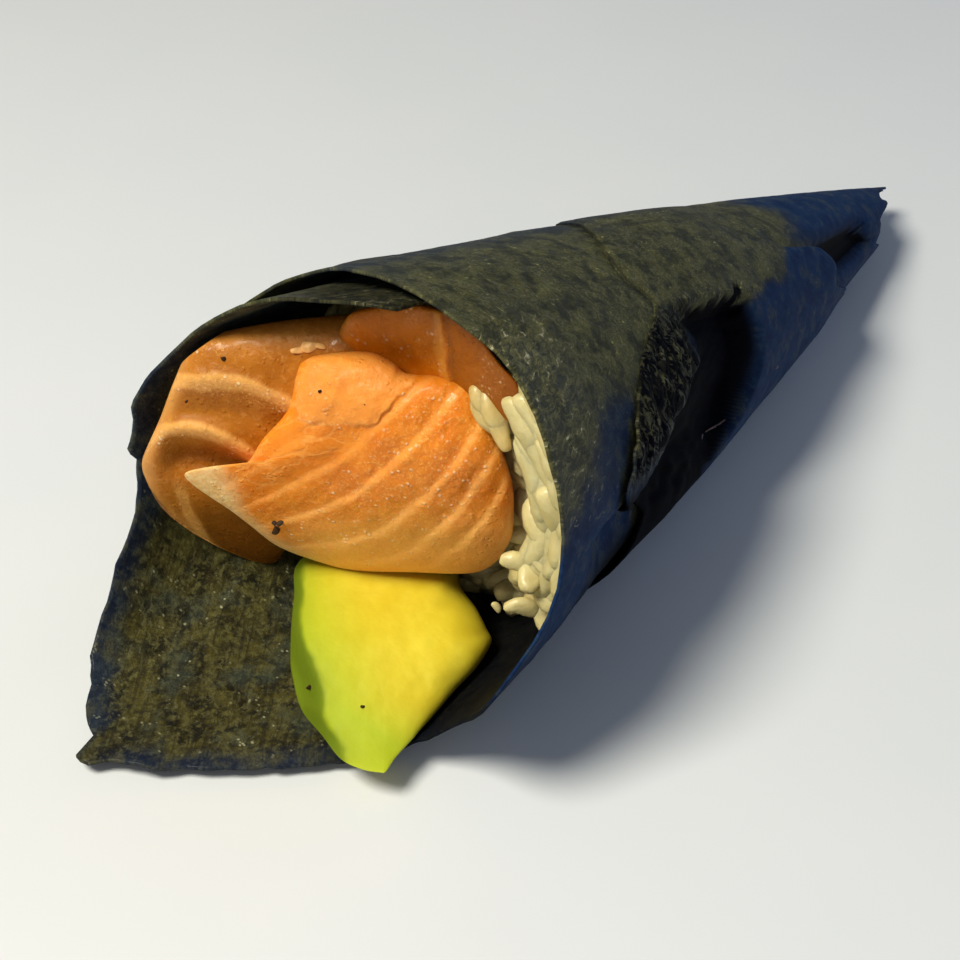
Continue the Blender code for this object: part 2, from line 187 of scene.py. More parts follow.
def painted_hollow_shade(turn, slant):
    """1 where black shade is painted: the sunken, wet hollow and the flank below it, turned from the
    light.
    """
    from_tail, from_top, from_mouth = hollow_edges(turn, slant, 1)
    zone = smooth(from_tail, -1.4, 1.0) * smooth(from_top, -1.0, 2.0) * smooth(from_mouth, -5.0, 1.5)
    below = smooth(from_tail, -1.4, 1.0) * (1 - smooth(wrapped(turn), 10, 18)) * smooth(118 - slant, -2, 2)
    return np.maximum(zone, below) * smooth(wrapped(turn), -75, -45)


def tail_hollow(turn, slant):
    """A fold sunk into the inner turn where the outer turn ends, near the tail."""
    side = wrapped(turn)
    along = smooth(slant, 27 + 0.12 * side, 31 + 0.12 * side) * (1 - smooth(slant, 50, 56))
    return along * smooth(side, 6, 20) * (1 - smooth(side, 40, 54)) * (turn < 500)


def crumpled(turn, slant):
    """How much of the last turn is crumpled there, between the seam and the hollow, and the
    crinkles: noise drawn out round the cone, below 0 in the gaps between them."""
    side = wrapped(turn)
    where = smooth(side, 9, 19) * (1 - smooth(side, 48, 60)) * smooth(turn, 600, 640)
    where = where * smooth(slant + 0.18 * (side - 40), 88, 92)
    where = where * (1 - smooth(slant + 0.34 * side, 117.5, 120))
    around = side * 0.42
    bent = slant + 0.12 * (side - 30) + 0.9 * rough(around, slant, 3, 21)
    return where, rough(bent, around * 0.25, 0.7, 24)


def seam_lift(turn, slant):
    """The outer turn stands a little off the one below by the tail and clings to it at the seam."""
    near = tail_edge(turn)
    to_mouth = smooth(slant, front_edge(turn) - 14, front_edge(turn) - 1) * smooth(turn, 730, 765)
    to_tail = smooth(turn, 766, 782) + 1 - smooth(turn, 716, 728)
    to_tail = to_tail * (1 - smooth(slant, near + 1, near + 12))
    cling = np.maximum(np.maximum(to_mouth, to_tail), smooth(turn, 812, 838))
    lift = (1 - smooth(slant, near, near + 9)) * bell(turn, 745, 24)
    sunk = smooth(slant - front_edge(turn), -1.2, -0.1) * smooth(turn, 745, 765)
    return smooth(turn, 640, 700) * (0.6 * lift - 0.55 * cling - 0.22 * sunk)


def cone_at(slant):
    """Half angle, radius, upright radius and height of the middle line at a slant: the cone swells
    a little towards its point, stands taller than wide, and its point is lifted off the table."""
    half = math.radians(HALF_ANGLE) * (1 + OGIVE * (1 - slant / MOUTH_SLANT))
    radius = slant * np.sin(half)
    upright = radius * UPRIGHT_STRETCH
    lift = POINT_LIFT * (1 - np.clip(slant / MOUTH_SLANT, 0, 1))
    return half, radius, upright, upright + lift - FLAT_SPOT


def rolled(turn, slant, inset=0.0):
    """Point of the sheet's middle surface for a direction round the cone and a slant.

    A circle of the cone's radius plus the ply's offset, less the hollow, leaning to the right.
    Past the mouth the first turn opens out and sinks onto the table as a flap: there the point
    is blended towards the flat sheet lying on z = 0. An inset gives the surface further in.
    """
    turn, slant = np.broadcast_arrays(np.asarray(turn, float), np.asarray(slant, float))
    angle = np.radians(turn)
    half, radius, upright, middle = cone_at(slant)
    outward = ply_offset(turn) - HOLLOW_DEPTH * hollow(turn, slant) - inset
    outward = outward - TAIL_FOLD_DEPTH * tail_hollow(turn, slant) + seam_lift(turn, slant)
    outward = outward + 1.8 * bell(turn % 360, 172, 38) * smooth(slant, 98, 128)
    outward = outward - 1.5 * bell(wrapped(turn), -14, 15) * bell(slant, 107, 9)
    pressed = 1.2 * bell(turn, 110, 16) + 0.9 * bell(turn, 140, 18) - 0.6 * bell(turn, 176, 16)
    pressed = pressed * (1 - smooth(turn, 200, 260))
    outward = outward - pressed * smooth(slant, 106, 126)
    outward = outward - 0.1 * bell(turn, 525, 26) * smooth(slant, 110, 122)
    x = -slant * np.cos(half)
    y = -(radius + outward) * np.cos(angle) - LEAN * upright * (np.sin(angle) + 1)
    z = middle + (upright + outward) * np.sin(angle)
    open_turn = np.where(turn > 400, turn - 360, turn)
    aim = FLAP_AIM + sheet_angle(OPEN_CORNER_TURN) - sheet_angle(open_turn)
    opened = smooth(slant, 117, 150) * smooth(open_turn, 194, 236)
    opened = opened * (1 - smooth(open_turn, 284, 322)) * (turn < 690)
    under = 0.25 + np.maximum(0, ply_offset(630) - ply_offset(turn)) + inset
    x = x + (-slant * np.cos(aim) - x) * opened
    y = y + (slant * np.sin(aim) - y) * opened
    z = z + (under - z) * opened
    return np.stack([x, y, np.maximum(z, under)], -1)


def slant_at(points):
    """Slant of points inside the cone, kept to the stretch that the filling takes up."""
    return np.clip(-points[..., 0] / math.cos(math.radians(HALF_ANGLE)), 20, 127)


def inside_wall(points, clearance):
    """Points pulled in along the cone's cross section where they lie outside its inner wall.

    The direction of each point from the cone's middle line picks a point of the innermost
    turn, and the point moves in to that distance less the clearance.
    """
    slant = slant_at(points)
    _, radius, upright, height = cone_at(slant)
    middle = np.stack([points[..., 0], -LEAN * upright, height], -1)
    arm = points - middle
    turn = np.degrees(np.arctan2(arm[..., 2] / upright, -(arm[..., 1] + LEAN * arm[..., 2]) / radius))
    turn = (turn - FIRST_TURN) % 360 + FIRST_TURN
    wall = rolled(turn, slant, clearance) - middle
    reach = np.hypot(wall[..., 1], wall[..., 2]) / np.maximum(np.hypot(arm[..., 1], arm[..., 2]), 0.01)
    return middle + arm * np.minimum(reach, 1)[..., None]


# ---------------------------------------------------------------- mesh helpers

def make_piece(name, points, faces, material, marks=None, flat_map=None):
    """A smooth-shaded mesh from points in millimetres, faces, named marks and a flat map."""
    mesh = bpy.data.meshes.new(name)
    mesh.from_pydata(((points.reshape(-1, 3) + SHIFT) * MM).tolist(), [], faces)
    mesh.polygons.foreach_set("use_smooth", np.ones(len(mesh.polygons), bool))
    for mark, values in (marks or {}).items():
        layer = mesh.attributes.new(mark, "FLOAT", "POINT")
        layer.data.foreach_set("value", np.asarray(values, np.float32).ravel())
    if flat_map is not None:
        corners = np.zeros(len(mesh.loops), int)
        mesh.loops.foreach_get("vertex_index", corners)
        layer = mesh.uv_layers.new(name="sheet")
        layer.data.foreach_set("uv", flat_map.reshape(-1, 2)[corners].astype(np.float32).ravel())
    mesh.materials.append(material)
    piece = bpy.data.objects.new(name, mesh)
    bpy.context.scene.collection.objects.link(piece)
    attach(piece, "root")
    return piece


def grid_faces(rows, columns, around=False):
    """Quads between neighbouring rows of a grid of points; around closes each row into a ring."""
    i = np.arange(rows - 1)[:, None]
    j = np.arange(columns if around else columns - 1)[None, :]
    k = (j + 1) % columns
    quads = np.stack([i * columns + j, i * columns + k, (i + 1) * columns + k, (i + 1) * columns + j], -1)
    return quads.reshape(-1, 4).tolist()


def capped_rings(rows, columns):
    """Quads between rings of points and a fan of triangles over each end, from two poles that
    follow the rings' points."""
    ring = np.arange(columns)
    following = np.roll(ring, -1)
    pole = np.full(columns, rows * columns)
    last_ring = (rows - 1) * columns
    start = np.stack([pole, following, ring], -1)
    end = np.stack([pole + 1, last_ring + ring, last_ring + following], -1)
    return grid_faces(rows, columns, around=True) + start.tolist() + end.tolist()


def grid_normals(points):
    """Unit normals of a grid of points, from the cross product of its two directions."""
    normal = np.cross(np.gradient(points, axis=0), np.gradient(points, axis=1))
    return normal / np.maximum(np.linalg.norm(normal, axis=-1, keepdims=True), 1e-9)


# ---------------------------------------------------------------- materials

class Value:
    """A number that varies over a surface. Arithmetic on it adds Math nodes."""

    def __init__(self, finish, socket):
        self.finish = finish
        self.socket = socket

    def math(self, operation, *terms, clamp=False):
        """The result of a Math node on the given terms."""
        return self.finish.node("ShaderNodeMath", {"operation": operation, "use_clamp": clamp}, terms)

    def __add__(self, other):
        return self.math("ADD", self, other)

    def __sub__(self, other):
        return self.math("SUBTRACT", self, other)

    def __rsub__(self, other):
        return self.math("SUBTRACT", other, self)

    def __mul__(self, other):
        return self.math("MULTIPLY", self, other)

    __radd__ = __add__
    __rmul__ = __mul__

    def __abs__(self):
        return self.math("ABSOLUTE", self)

    def at_least(self, other):
        """The larger of the two."""
        return self.math("MAXIMUM", self, other)

    def rise(self, low, high):
        """0 below low, 1 above high, eased between."""
        inputs = {"Value": self, "From Min": low, "From Max": high}
        return self.finish.node("ShaderNodeMapRange", {"interpolation_type": "SMOOTHSTEP"}, inputs)

    def clamped(self):
        """Kept between 0 and 1."""
        return self.math("ADD", self, 0, clamp=True)


class Finish:
    """A material under construction: one Principled shader and the nodes that feed it."""

    def __init__(self, name):
        self.material = bpy.data.materials.new(name)
        self.material.use_nodes = True
        self.tree = self.material.node_tree
        self.shader = self.tree.nodes["Principled BSDF"]

    def node(self, kind, settings=None, inputs=(), output=0):
        """Adds a node: settings first, then values or links for its sockets."""
        made = self.tree.nodes.new(kind)
        for key, value in (settings or {}).items():
            setattr(made, key, value)
        pairs = inputs.items() if isinstance(inputs, dict) else enumerate(inputs)
        for key, value in pairs:
            self.put(made.inputs[key], value)
        return Value(self, made.outputs[output])

    def put(self, socket, value):
        """Links a varying value to a socket, or sets a plain one."""
        if isinstance(value, Value):
            self.tree.links.new(value.socket, socket)
        elif isinstance(value, tuple) and socket.type == "RGBA":
            socket.default_value = (*value, 1)
        else:
            socket.default_value = value

    def place(self):
        """Object coordinates in centimetres."""
        here = self.node("ShaderNodeTexCoord", output="Object")
        return self.node("ShaderNodeVectorMath", {"operation": "SCALE"}, {0: here, "Scale": 100})

    def on_sheet(self, along=1, across=1, turned=0):
        """Position on the flat sheet in centimetres, stretched and turned."""
        here = self.node("ShaderNodeUVMap", {"uv_map": "sheet"})
        rotation = (0, 0, math.radians(turned))
        spun = self.node("ShaderNodeMapping", {}, {"Vector": here, "Rotation": rotation})
        return self.node("ShaderNodeMapping", {}, {"Vector": spun, "Scale": (along, across, 1)})

    def mark(self, name):
        """A number kept with each point of the mesh."""
        return self.node("ShaderNodeAttribute", {"attribute_name": name}, output="Fac")

    def noise(self, where, scale, detail=3, roughness=0.55, warp=0):
        """Soft noise between 0 and 1; it gets finer as the scale grows, and warp bends it."""
        inputs = {"Vector": where, "Scale": scale, "Detail": detail, "Roughness": roughness,
                  "Distortion": warp}
        return self.node("ShaderNodeTexNoise", {}, inputs)

    def cells(self, where, scale):
        """Distance from the nearest of many scattered points."""
        inputs = {"Vector": where, "Scale": scale}
        return self.node("ShaderNodeTexVoronoi", {"feature": "F1"}, inputs, "Distance")

    def mix(self, factor, first, second):
        """Colour blend from the first colour to the second."""
        return self.node("ShaderNodeMix", {"data_type": "RGBA"}, {0: factor, 6: first, 7: second}, 2)

    def bump(self, height, distance, strength=1.0, below=None):
        """A normal from a height; distance is in millimetres."""
        inputs = {"Height": height, "Distance": distance * MM, "Strength": strength}
        if below is not None:
            inputs["Normal"] = below
        return self.node("ShaderNodeBump", {}, inputs)

    def wear(self, **sockets):
        """Sets or links the shader's own sockets, named with _ for a space."""
        for key, value in sockets.items():
            self.put(self.shader.inputs[key.replace("_", " ")], value)
        return self.material

    def blend(self, factor, **sockets):
        """Blends over to a second shader where factor is 1."""
        inputs = {key.replace("_", " "): value for key, value in sockets.items()}
        second = self.node("ShaderNodeBsdfPrincipled", {}, inputs)
        both = self.node("ShaderNodeMixShader", {}, {0: factor, 2: second})
        self.tree.links.new(self.shader.outputs[0], both.socket.node.inputs[1])
        self.tree.links.new(both.socket, self.tree.nodes["Material Output"].inputs["Surface"])
        return self.material


def flap_colour(f, patches, tangle, clouds, glints):
    """Colour of the open corner: brown patches, olive threads, dark streaks, blue-grey patches of
    painted reflection, and painted glints.
    """
    streaks = f.noise(f.on_sheet(15, 1.3, 0), 1, 3, 0.6, 0.4)
    brown = f.mix(patches.rise(0.38, 0.64), (0.011, 0.010, 0.003), (0.066, 0.058, 0.013))
    brown = f.mix(tangle.rise(0.45, 0.62) * 0.7, brown, (0.112, 0.106, 0.036))
    brown = f.mix(streaks.rise(0.5, 0.62) * 0.6, brown, (0.016, 0.013, 0.004))
    # blue-grey patches: a painted reflection of a blue surround on the wet sheet
    brown = f.mix(clouds.rise(0.48, 0.68) * 0.55, brown, (0.040, 0.054, 0.044))
    # painted glints
    return f.mix(glints * clouds.rise(0.38, 0.56) * 0.7, brown, (0.42, 0.42, 0.26))


def outer_colour(f, patches, tangle, clouds, glints, veins, crinkles, wet):
    """Colour of the rolled part: olive patches and pale wandering strands over near black, with
    small painted glints; along the crinkles where it is wet, yellower, a painted highlight."""
    olive = f.mix(patches.rise(0.34, 0.66), (0.020, 0.022, 0.009), (0.066, 0.067, 0.025))
    olive = f.mix(tangle.rise(0.45, 0.66) * 0.35, olive, (0.125, 0.124, 0.052))
    olive = f.mix(clouds.rise(0.40, 0.66) * 0.6, olive, (0.026, 0.029, 0.019))
    olive = f.mix(veins * patches.rise(0.38, 0.54) * 0.5, olive, (0.23, 0.22, 0.10))
    # painted glints
    olive = f.mix(glints * patches.rise(0.4, 0.6) * 0.8, olive, (0.36, 0.37, 0.13))
    # painted highlight: light and dark crinkles on the wet rim, lit brighter than the rest
    wrinkled = f.mix(crinkles.rise(0.42, 0.60), (0.020, 0.020, 0.006), (0.160, 0.150, 0.055))
    return f.mix(wet * 0.6, olive, wrinkled)


def nori_finish():
    """Pressed seaweed, satin, with painted glints where wet: olive outside, brown on the open corner,
    a painted navy reflection on the shaded side, and painted black shade where the sheet is sunken."""
    f = Finish("nori")
    flat = f.on_sheet()
    flap = f.mark("flap")
    wet = f.mark("wet")
    crumple = f.mark("crumple")
    # painted black shade, from the hollow mark
    painted_shade_mark = f.mark("hollow")
    clouds = f.noise(flat, 1.5, 4, 0.6)
    patches = f.noise(flat, 4.0, 4, 0.6, 0.3)
    tangle = f.noise(flat, 12, 4, 0.7, 0.3)
    strands = f.noise(f.on_sheet(8, 12, 25), 1, 4, 0.62, 1.8)
    veins = 1 - abs(strands - 0.5).rise(0.0, 0.05)
    crinkles = f.noise(f.on_sheet(15, 8, -150), 1, 4, 0.68, 1.0)
    strips = f.noise(f.on_sheet(5, 2.5, -150), 1, 3, 0.6, 1.0).rise(0.40, 0.60)
    glints = 1 - f.cells(f.on_sheet(12, 18, 30), 1).rise(0.12, 0.3)
    glints = glints * f.noise(flat, 5, 2).rise(0.52, 0.62)
    # painted navy: the blue reflection and shade on the side turned from the lamp, where the cool mark is
    navy = f.mix(patches.rise(0.3, 0.7), (0.004, 0.016, 0.062), (0.012, 0.038, 0.105))
    navy = f.mix(tangle.rise(0.5, 0.7) * 0.4, navy, (0.030, 0.065, 0.135))
    cool = f.mark("cool") * (1 - 0.4 * patches.rise(0.48, 0.64))
    colour = outer_colour(f, patches, tangle, clouds, glints, veins, crinkles, wet)
    colour = f.mix(flap, colour, flap_colour(f, patches, tangle, clouds, glints))
    colour = f.mix(cool, colour, navy)
    colour = f.mix(f.mark("torn") * 0.5, colour, (0.04, 0.085, 0.14))
    # painted glints on the wet crinkles
    colour = f.mix(crinkles.rise(0.61, 0.68) * wet, colour, (0.55, 0.52, 0.38))
    colour = f.mix(crumple * crinkles.rise(0.52, 0.64), colour, (0.064, 0.063, 0.034))
    fine = f.bump(patches + tangle + 0.3 * veins, 0.16, 1.0)
    fine = f.bump(crinkles * crumple.at_least(0.5 * wet), 0.7, 1.0, fine)
    grain = f.bump(f.noise(flat, 34, 3, 0.7), 0.05, 0.9, fine)
    f.wear(Base_Color=colour, Roughness=0.52 + 0.2 * patches - 0.14 * wet, Normal=grain,
           Coat_Weight=0.12 * wet + 0.06 * flap, Coat_Roughness=0.14, Sheen_Weight=0.05,
           Sheen_Roughness=0.25, Sheen_Tint=(0.1, 0.3, 1.0), Specular_IOR_Level=0.12)
    # painted shade: a second, nearly unreflective shader, near black in the hollow and the crumple's gaps
    # and navy where the painted reflection is
    gaps = crumple * (1 - crinkles.rise(0.46, 0.58) * (0.12 + 0.88 * strips))
    sunken = painted_shade_mark.at_least(gaps)
    painted_shade_colour = f.mix(cool * (1 - sunken), (0.0007, 0.0009, 0.0030), navy)
    return f.blend(sunken.at_least(0.8 * cool), Base_Color=painted_shade_colour, Roughness=0.75,
                   Specular_IOR_Level=0.04)


def salmon_finish(name, flesh, deep, fat, gloss):
    """Raw salmon: translucent flesh, pale fat lines from the fat mark, moist with tiny beads; painted
    shade from the shade mark, and painted sheen and bead highlights where it sparkles.
    """
    f = Finish(name)
    here = f.place()
    fat_mark = f.mark("fat")
    sparkle = f.mark("sparkle")
    clouds = f.noise(here, 2.2, 3)
    fibres = f.noise(here, 14, 4, 0.65, 0.6)
    grains = f.noise(here, 30, 3, 0.7)
    beads = (1 - f.cells(here, 14).rise(0.12, 0.36)) * f.noise(here, 6, 3).rise(0.48, 0.60)
    shaded = tuple(0.36 * c for c in deep)
    creamy = f.mix(fibres.rise(0.35, 0.65), (0.84, 0.58, 0.26), (0.78, 0.44, 0.15))
    shining = tuple(min(0.9, 1.25 * c + 0.03) for c in fat)
    colour = f.mix(clouds.rise(0.35, 0.68), flesh, deep)
    colour = f.mix(fibres.rise(0.5, 0.75) * 0.28, colour, fat)
    # painted shade where the shade mark is
    colour = f.mix(f.mark("shade"), colour, shaded)
    colour = f.mix((fat_mark * (0.5 + 0.6 * fibres)).clamped(), colour, fat)
    colour = f.mix(f.mark("pale"), colour, creamy)
    # painted sheen and bead highlights where the sparkle mark is
    colour = f.mix(sparkle * grains.rise(0.5, 0.68) * 0.42, colour, shining)
    colour = f.mix(sparkle * beads * 0.65, colour, (0.94, 0.74, 0.46))
    relief = f.bump(fibres + 0.4 * fat_mark, 0.2, 0.7)
    wet = f.bump(beads + 0.5 * grains, 0.12, 0.7, relief)
    return f.wear(Base_Color=colour, Roughness=0.5 - 0.16 * fibres, Normal=wet,
                  Coat_Weight=0.02 + gloss * sparkle, Coat_Roughness=0.16, Subsurface_Weight=0.22,
                  Subsurface_Radius=(1.0, 0.35, 0.12), Subsurface_Scale=0.003,
                  Specular_IOR_Level=gloss)


def avocado_finish():
    """Ripe avocado: butter yellow in the middle, lime green towards the skin and the tip."""
    f = Finish("avocado")
    here = f.place()
    clouds = f.noise(here, 2.6, 3)
    creamy = f.noise(here, 9, 3, 0.5)
    green = (f.mark("skin") + 0.20 * (clouds - 0.5)).rise(0.0, 1.0)
    colour = f.mix(clouds.rise(0.3, 0.7), (0.68, 0.575, 0.040), (0.63, 0.51, 0.024))
    colour = f.mix(f.mark("lime"), colour, (0.41, 0.49, 0.020))
    colour = f.mix(green, colour, (0.135, 0.19, 0.007))
    # painted shade on the right rim, from the edge mark
    colour = f.mix(f.mark("edge") * 0.8, colour, (0.30, 0.24, 0.008))
    relief = f.bump(creamy + clouds, 0.1, 0.5)
    return f.wear(Base_Color=colour, Roughness=0.5 + 0.2 * creamy, Normal=relief, Subsurface_Weight=0.2,
                  Subsurface_Radius=(1.0, 0.8, 0.15), Subsurface_Scale=0.003, Specular_IOR_Level=0.16)


def rice_finish(name, tint=(1, 1, 1)):
    """Cooked rice: cream white, translucent, moist; a tint paints the warm glow that the salmon throws on
    grains lying on a slice.
    """
    f = Finish(name)
    here = f.place()
    clouds = f.noise(here, 4, 2)
    fine = f.noise(here, 22, 2)
    dull = tuple(np.multiply((0.52, 0.44, 0.195), tint))
    bright = tuple(np.multiply((0.61, 0.535, 0.265), tint))
    colour = f.mix(clouds.rise(0.3, 0.7), dull, bright)
    return f.wear(Base_Color=colour, Roughness=0.38 + 0.15 * fine, Normal=f.bump(fine + clouds, 0.12, 0.6),
                  Coat_Weight=0.2, Coat_Roughness=0.2, Subsurface_Weight=0.3,
                  Subsurface_Radius=(1.0, 0.75, 0.4), Subsurface_Scale=0.0015)


def plain_finish(name, colour, roughness, speckles):
    """A plain colour with darker speckles; they get finer as their number grows."""
    f = Finish(name)
    darker = tuple(0.75 * c for c in colour)
    speckled = f.mix(f.noise(f.place(), speckles, 3).rise(0.4, 0.6), colour, darker)
    return f.wear(Base_Color=speckled, Roughness=roughness, Specular_IOR_Level=0.12)


# ---------------------------------------------------------------- nori

# Columns of the sheet as (first turn, last turn, step), closer where they show, and its rows.
NORI_COLUMNS = ((88, 170, 5), (170, 310, 1.8), (310, 500, 6), (500, 704, 4), (704, 788, 1.1),
                (788, LAST_TURN, 2.2))
NORI_ROWS = 174


def sheet_grid():
    """Turn and slant of the sheet's points: columns by turn, rows by share of the way between its
    edges. From two fifths of the way on, towards the mouth, the rows crowd together."""
    bands = [np.arange(first, last, step) for first, last, step in NORI_COLUMNS]
    turns = np.concatenate([*bands, [LAST_TURN]])
    even = np.linspace(0, 1, 600)
    crowding = np.cumsum(1 + 1.4 * smooth(even, 0.36, 0.48))
    shares = np.interp(np.linspace(crowding[0], crowding[-1], NORI_ROWS), crowding, even)
    turn = np.repeat(turns[:, None], NORI_ROWS, 1)
    near = tail_edge(turn)
    return turn, near + (front_edge(turn) - near) * shares


def shown_outside(turn, slant):
    """1 where the sheet is seen from outside: its last turn, and the turn below where that passes
    the last turn's edge. The distance past that edge comes second."""
    over_seam = slant - front_edge(np.clip(turn + 360, 696, LAST_TURN))
    below = smooth(over_seam, 0, 1.5) * smooth(turn, 328, 342)
    return np.maximum(below, smooth(turn, 476, 500)), over_seam


def nori_relief(turn, slant, outer):
    """Height along the normal: broad waves, rice pressing through near the mouth, crinkles on the
    crumpled patch, a frayed lip round the hollow and waves inside it, and a fine grain."""
    around = turn * 0.4
    grains = rough(around, slant, 4.2, 31, 2)
    raised = 0.16 * rough(around, slant, 13, 32) * (0.35 + 0.65 * outer)
    raised = raised + 0.14 * grains * smooth(slant, 60, 100) * outer
    raised = raised + 0.26 * np.maximum(grains, 0) * smooth(slant, 108, 122) * outer
    crumple, crinkles = crumpled(turn, slant)
    raised = raised + crumple * np.clip(0.55 * crinkles, -0.18, 0.18)
    inside = hollow(turn, slant, 1)
    lip = 4 * inside * (1 - inside) * rough(around, slant, 1.6, 33)
    last = smooth(turn, 560, 600)
    raised = raised + last * (0.45 * lip + 0.3 * inside * rough(around, slant, 3, 34))
    return raised + 0.035 * rough(around, slant, 1.3, 35, 2)


def flap_ripples(flat):
    """Height of the open corner over the table: broad ripples, fine waves across it 2.3 mm apart,
    one slanting crease and a rough grain."""
    x, y = flat[..., 0], flat[..., 1]
    broad = np.clip(0.5 + 0.5 * rough(x, y, 9, 36), 0, 1)
    waves = 0.5 + 0.5 * np.sin(y * 2 * np.pi / 2.3 + 2 * rough(x, y, 12, 37))
    crease = bell(x - 0.25 * (y - 120), 88.5, 1.0)
    return 0.75 * broad + 0.10 * waves + 0.30 * crease + 0.12 * rough(x, y, 1.2, 38, 2)


def painted_black_shade(turn, slant, over_seam):
    """1 where black shade is painted: the hollow, the gaps of the crumpled patch, the fold near the
    tail, the curled end of the corner, shaded by the wedge, and the narrow shadow along the seam."""
    crumple, crinkles = crumpled(turn, slant)
    gaps = 0.45 * crumple * smooth(-crinkles, -0.20, 0.05)
    black = np.maximum(painted_hollow_shade(turn, slant), gaps) * smooth(turn, 560, 600)
    black = np.maximum(black, smooth(tail_hollow(turn, slant), 0.15, 0.6))
    # painted shade: the curled end of the corner lies in the shadow of the wedge and the roll
    curled = smooth(turn, 270, 292) * (1 - smooth(turn, 336, 350))
    black = np.maximum(black, 0.92 * curled)
    on_edge = (1 - smooth(front_edge(turn) - slant, 0.1, 0.7)) * smooth(turn, 765, 780)
    beside = smooth(over_seam, -0.4, 0.1) * (1 - smooth(over_seam, 0.2, 1.3))
    beside = beside * smooth(turn, 400, 415) * (1 - smooth(turn, 475, 480))
    shadow = (0.4 + 0.35 * smooth(turn % 360, 84, 100)) * np.maximum(on_edge, beside)
    return np.maximum(black, shadow)


def painted_navy_reflection(turn, slant, outer, crumple):
    """1 where navy is painted, a reflection of a blue surround with shade: the right flank up to a
    wavering line, the tail, a faint band at the upper left, and the rim of the open corner."""
    side = wrapped(turn)
    around = turn * 0.4
    lower_ply = turn < 480
    line = 41 + 1.4 * np.maximum(0, 68 - slant) - 18 * smooth(slant, 86, 104)
    line = np.where(lower_ply, 38 - 2.1 * np.maximum(slant - 113.5, 0), line)
    line = line + 6 * rough(around, slant, 5, 39)
    flank = (1 - smooth(side, line - 3, line + 3)) * smooth(side, -110, -70)
    flank = flank * (1 - 0.32 * smooth(side, 10, 24) * lower_ply)
    tail = 1 - smooth(slant + 4 * rough(around, slant, 8, 40), 49, 58)
    navy = np.maximum(flank * outer, tail)
    navy = np.maximum(navy, 0.35 * bell(side, 114, 8) * outer) * (1 - 0.75 * crumple)
    from_edge = front_edge(turn) - slant
    past_corner = 1 - smooth(from_edge, 0.6, 4.0) * smooth(turn, 236, 246)
    before_corner = (1 - smooth(from_edge, 0.8, 5)) * (1 - smooth(turn, 236, 242))
    rim = np.maximum(past_corner * smooth(turn, 240, 250), before_corner)
    rim = rim * (1 - smooth(turn, 330, 400)) * smooth(turn, 150, 165)
    return np.maximum(navy, 0.4 * rim)


def nori_marks(turn, slant, outer, over_seam, flap):
    """The sheet's marks, each from 0 to 1: painted black shade, wet with painted glints, open
    corner, torn edge, painted navy reflection and shade, crumpled.
    """
    side = wrapped(turn)
    crumple = crumpled(turn, slant)[0]
    first_edge = smooth(slant, 117, 122) * (1 - smooth(turn, 116, 128))
    # wet: glossier, and there the colour paints lighter crinkles and glints
    wet = 0.9 * smooth(slant, 110, 119) * outer * smooth(side, 4, 16) * (1 - smooth(side, 60, 80))
    wet = np.maximum(np.maximum(wet, first_edge), 0.7 * crumple)
    # painted shade on the first edge, where it runs under the outer turn's rim
    black = np.maximum(painted_black_shade(turn, slant, over_seam), 0.55 * first_edge)
    torn = (1 - smooth(slant - tail_edge(turn), 0.3, 1.6)) * (1 - smooth(turn, 752, 762))
    navy = painted_navy_reflection(turn, slant, outer, crumple)
    return {"hollow": black, "wet": wet, "flap": flap, "torn": torn, "cool": navy, "crumple": crumple}


def make_nori():
    """The rolled sheet: relief along the normal that faces away from the cone's middle line, and
    ripples that lift the open corner off the table."""
    turn, slant = sheet_grid()
    phi = sheet_angle(turn)
    flat = np.stack([slant * np.cos(phi), slant * np.sin(phi)], -1)
    outer, over_seam = shown_outside(turn, slant)
    flap = smooth(turn, 176, 200) * smooth(slant, 112, 126) * (1 - smooth(turn, 300, 325))
    points = rolled(turn, slant)
    normal = grid_normals(points)
    middle = points * np.array([1, 0, 0])
    middle[..., 2] = cone_at(np.clip(slant, 10, 127))[2]
    facing = np.sign(((points - middle) * normal).sum(-1)[turn > 600].mean())
    raised = facing * nori_relief(turn, slant, outer) * (1 - flap)
    points = points + normal * raised[..., None]
    points[..., 2] = np.maximum(points[..., 2] + flap * flap_ripples(flat), WALL / 2)
    marks = nori_marks(turn, slant, outer, over_seam, flap)
    sheet = make_piece("nori_sheet", points, grid_faces(*turn.shape), nori_finish(), marks, flat / 10)
    wall = sheet.modifiers.new("Thickness", "SOLIDIFY")
    wall.thickness = WALL * MM
    wall.offset = 0
    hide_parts("nori")


# ---------------------------------------------------------------- salmon and avocado

# The slices and the wedge are drawn on a tilted plane in front of the mouth: right, up and out.
FACE_CENTRE = np.array([-118.0, 0, 24])
FACE_TURN = math.radians(50.61)
FACE_RISE = math.radians(40.63)
FACE_RIGHT = np.array([math.cos(FACE_TURN), -math.sin(FACE_TURN), 0])
FACE_UP = np.array([math.sin(FACE_RISE) * math.sin(FACE_TURN), math.sin(FACE_RISE) * math.cos(FACE_TURN),
                    math.cos(FACE_RISE)])
FACE_OUT = np.cross(FACE_RIGHT, FACE_UP)
EDGE_DEPTH_SHARE = 0.3


def closed_curve(corners, samples):
    """A smooth closed curve through the corners: cubic Hermite with chord tangents."""
    corners = np.asarray(corners, float)
    count = len(corners)
    place = np.arange(samples) * count / samples
    k = place.astype(int)
    t = (place - k)[:, None]
    before, start, end, after = (corners[(k + step) % count] for step in (-1, 0, 1, 2))
    return (start * (2 * t**3 - 3 * t**2 + 1) + end * (3 * t**2 - 2 * t**3)
            + (end - before) / 2 * (t**3 - 2 * t**2 + t) + (after - start) / 2 * (t**3 - t**2))


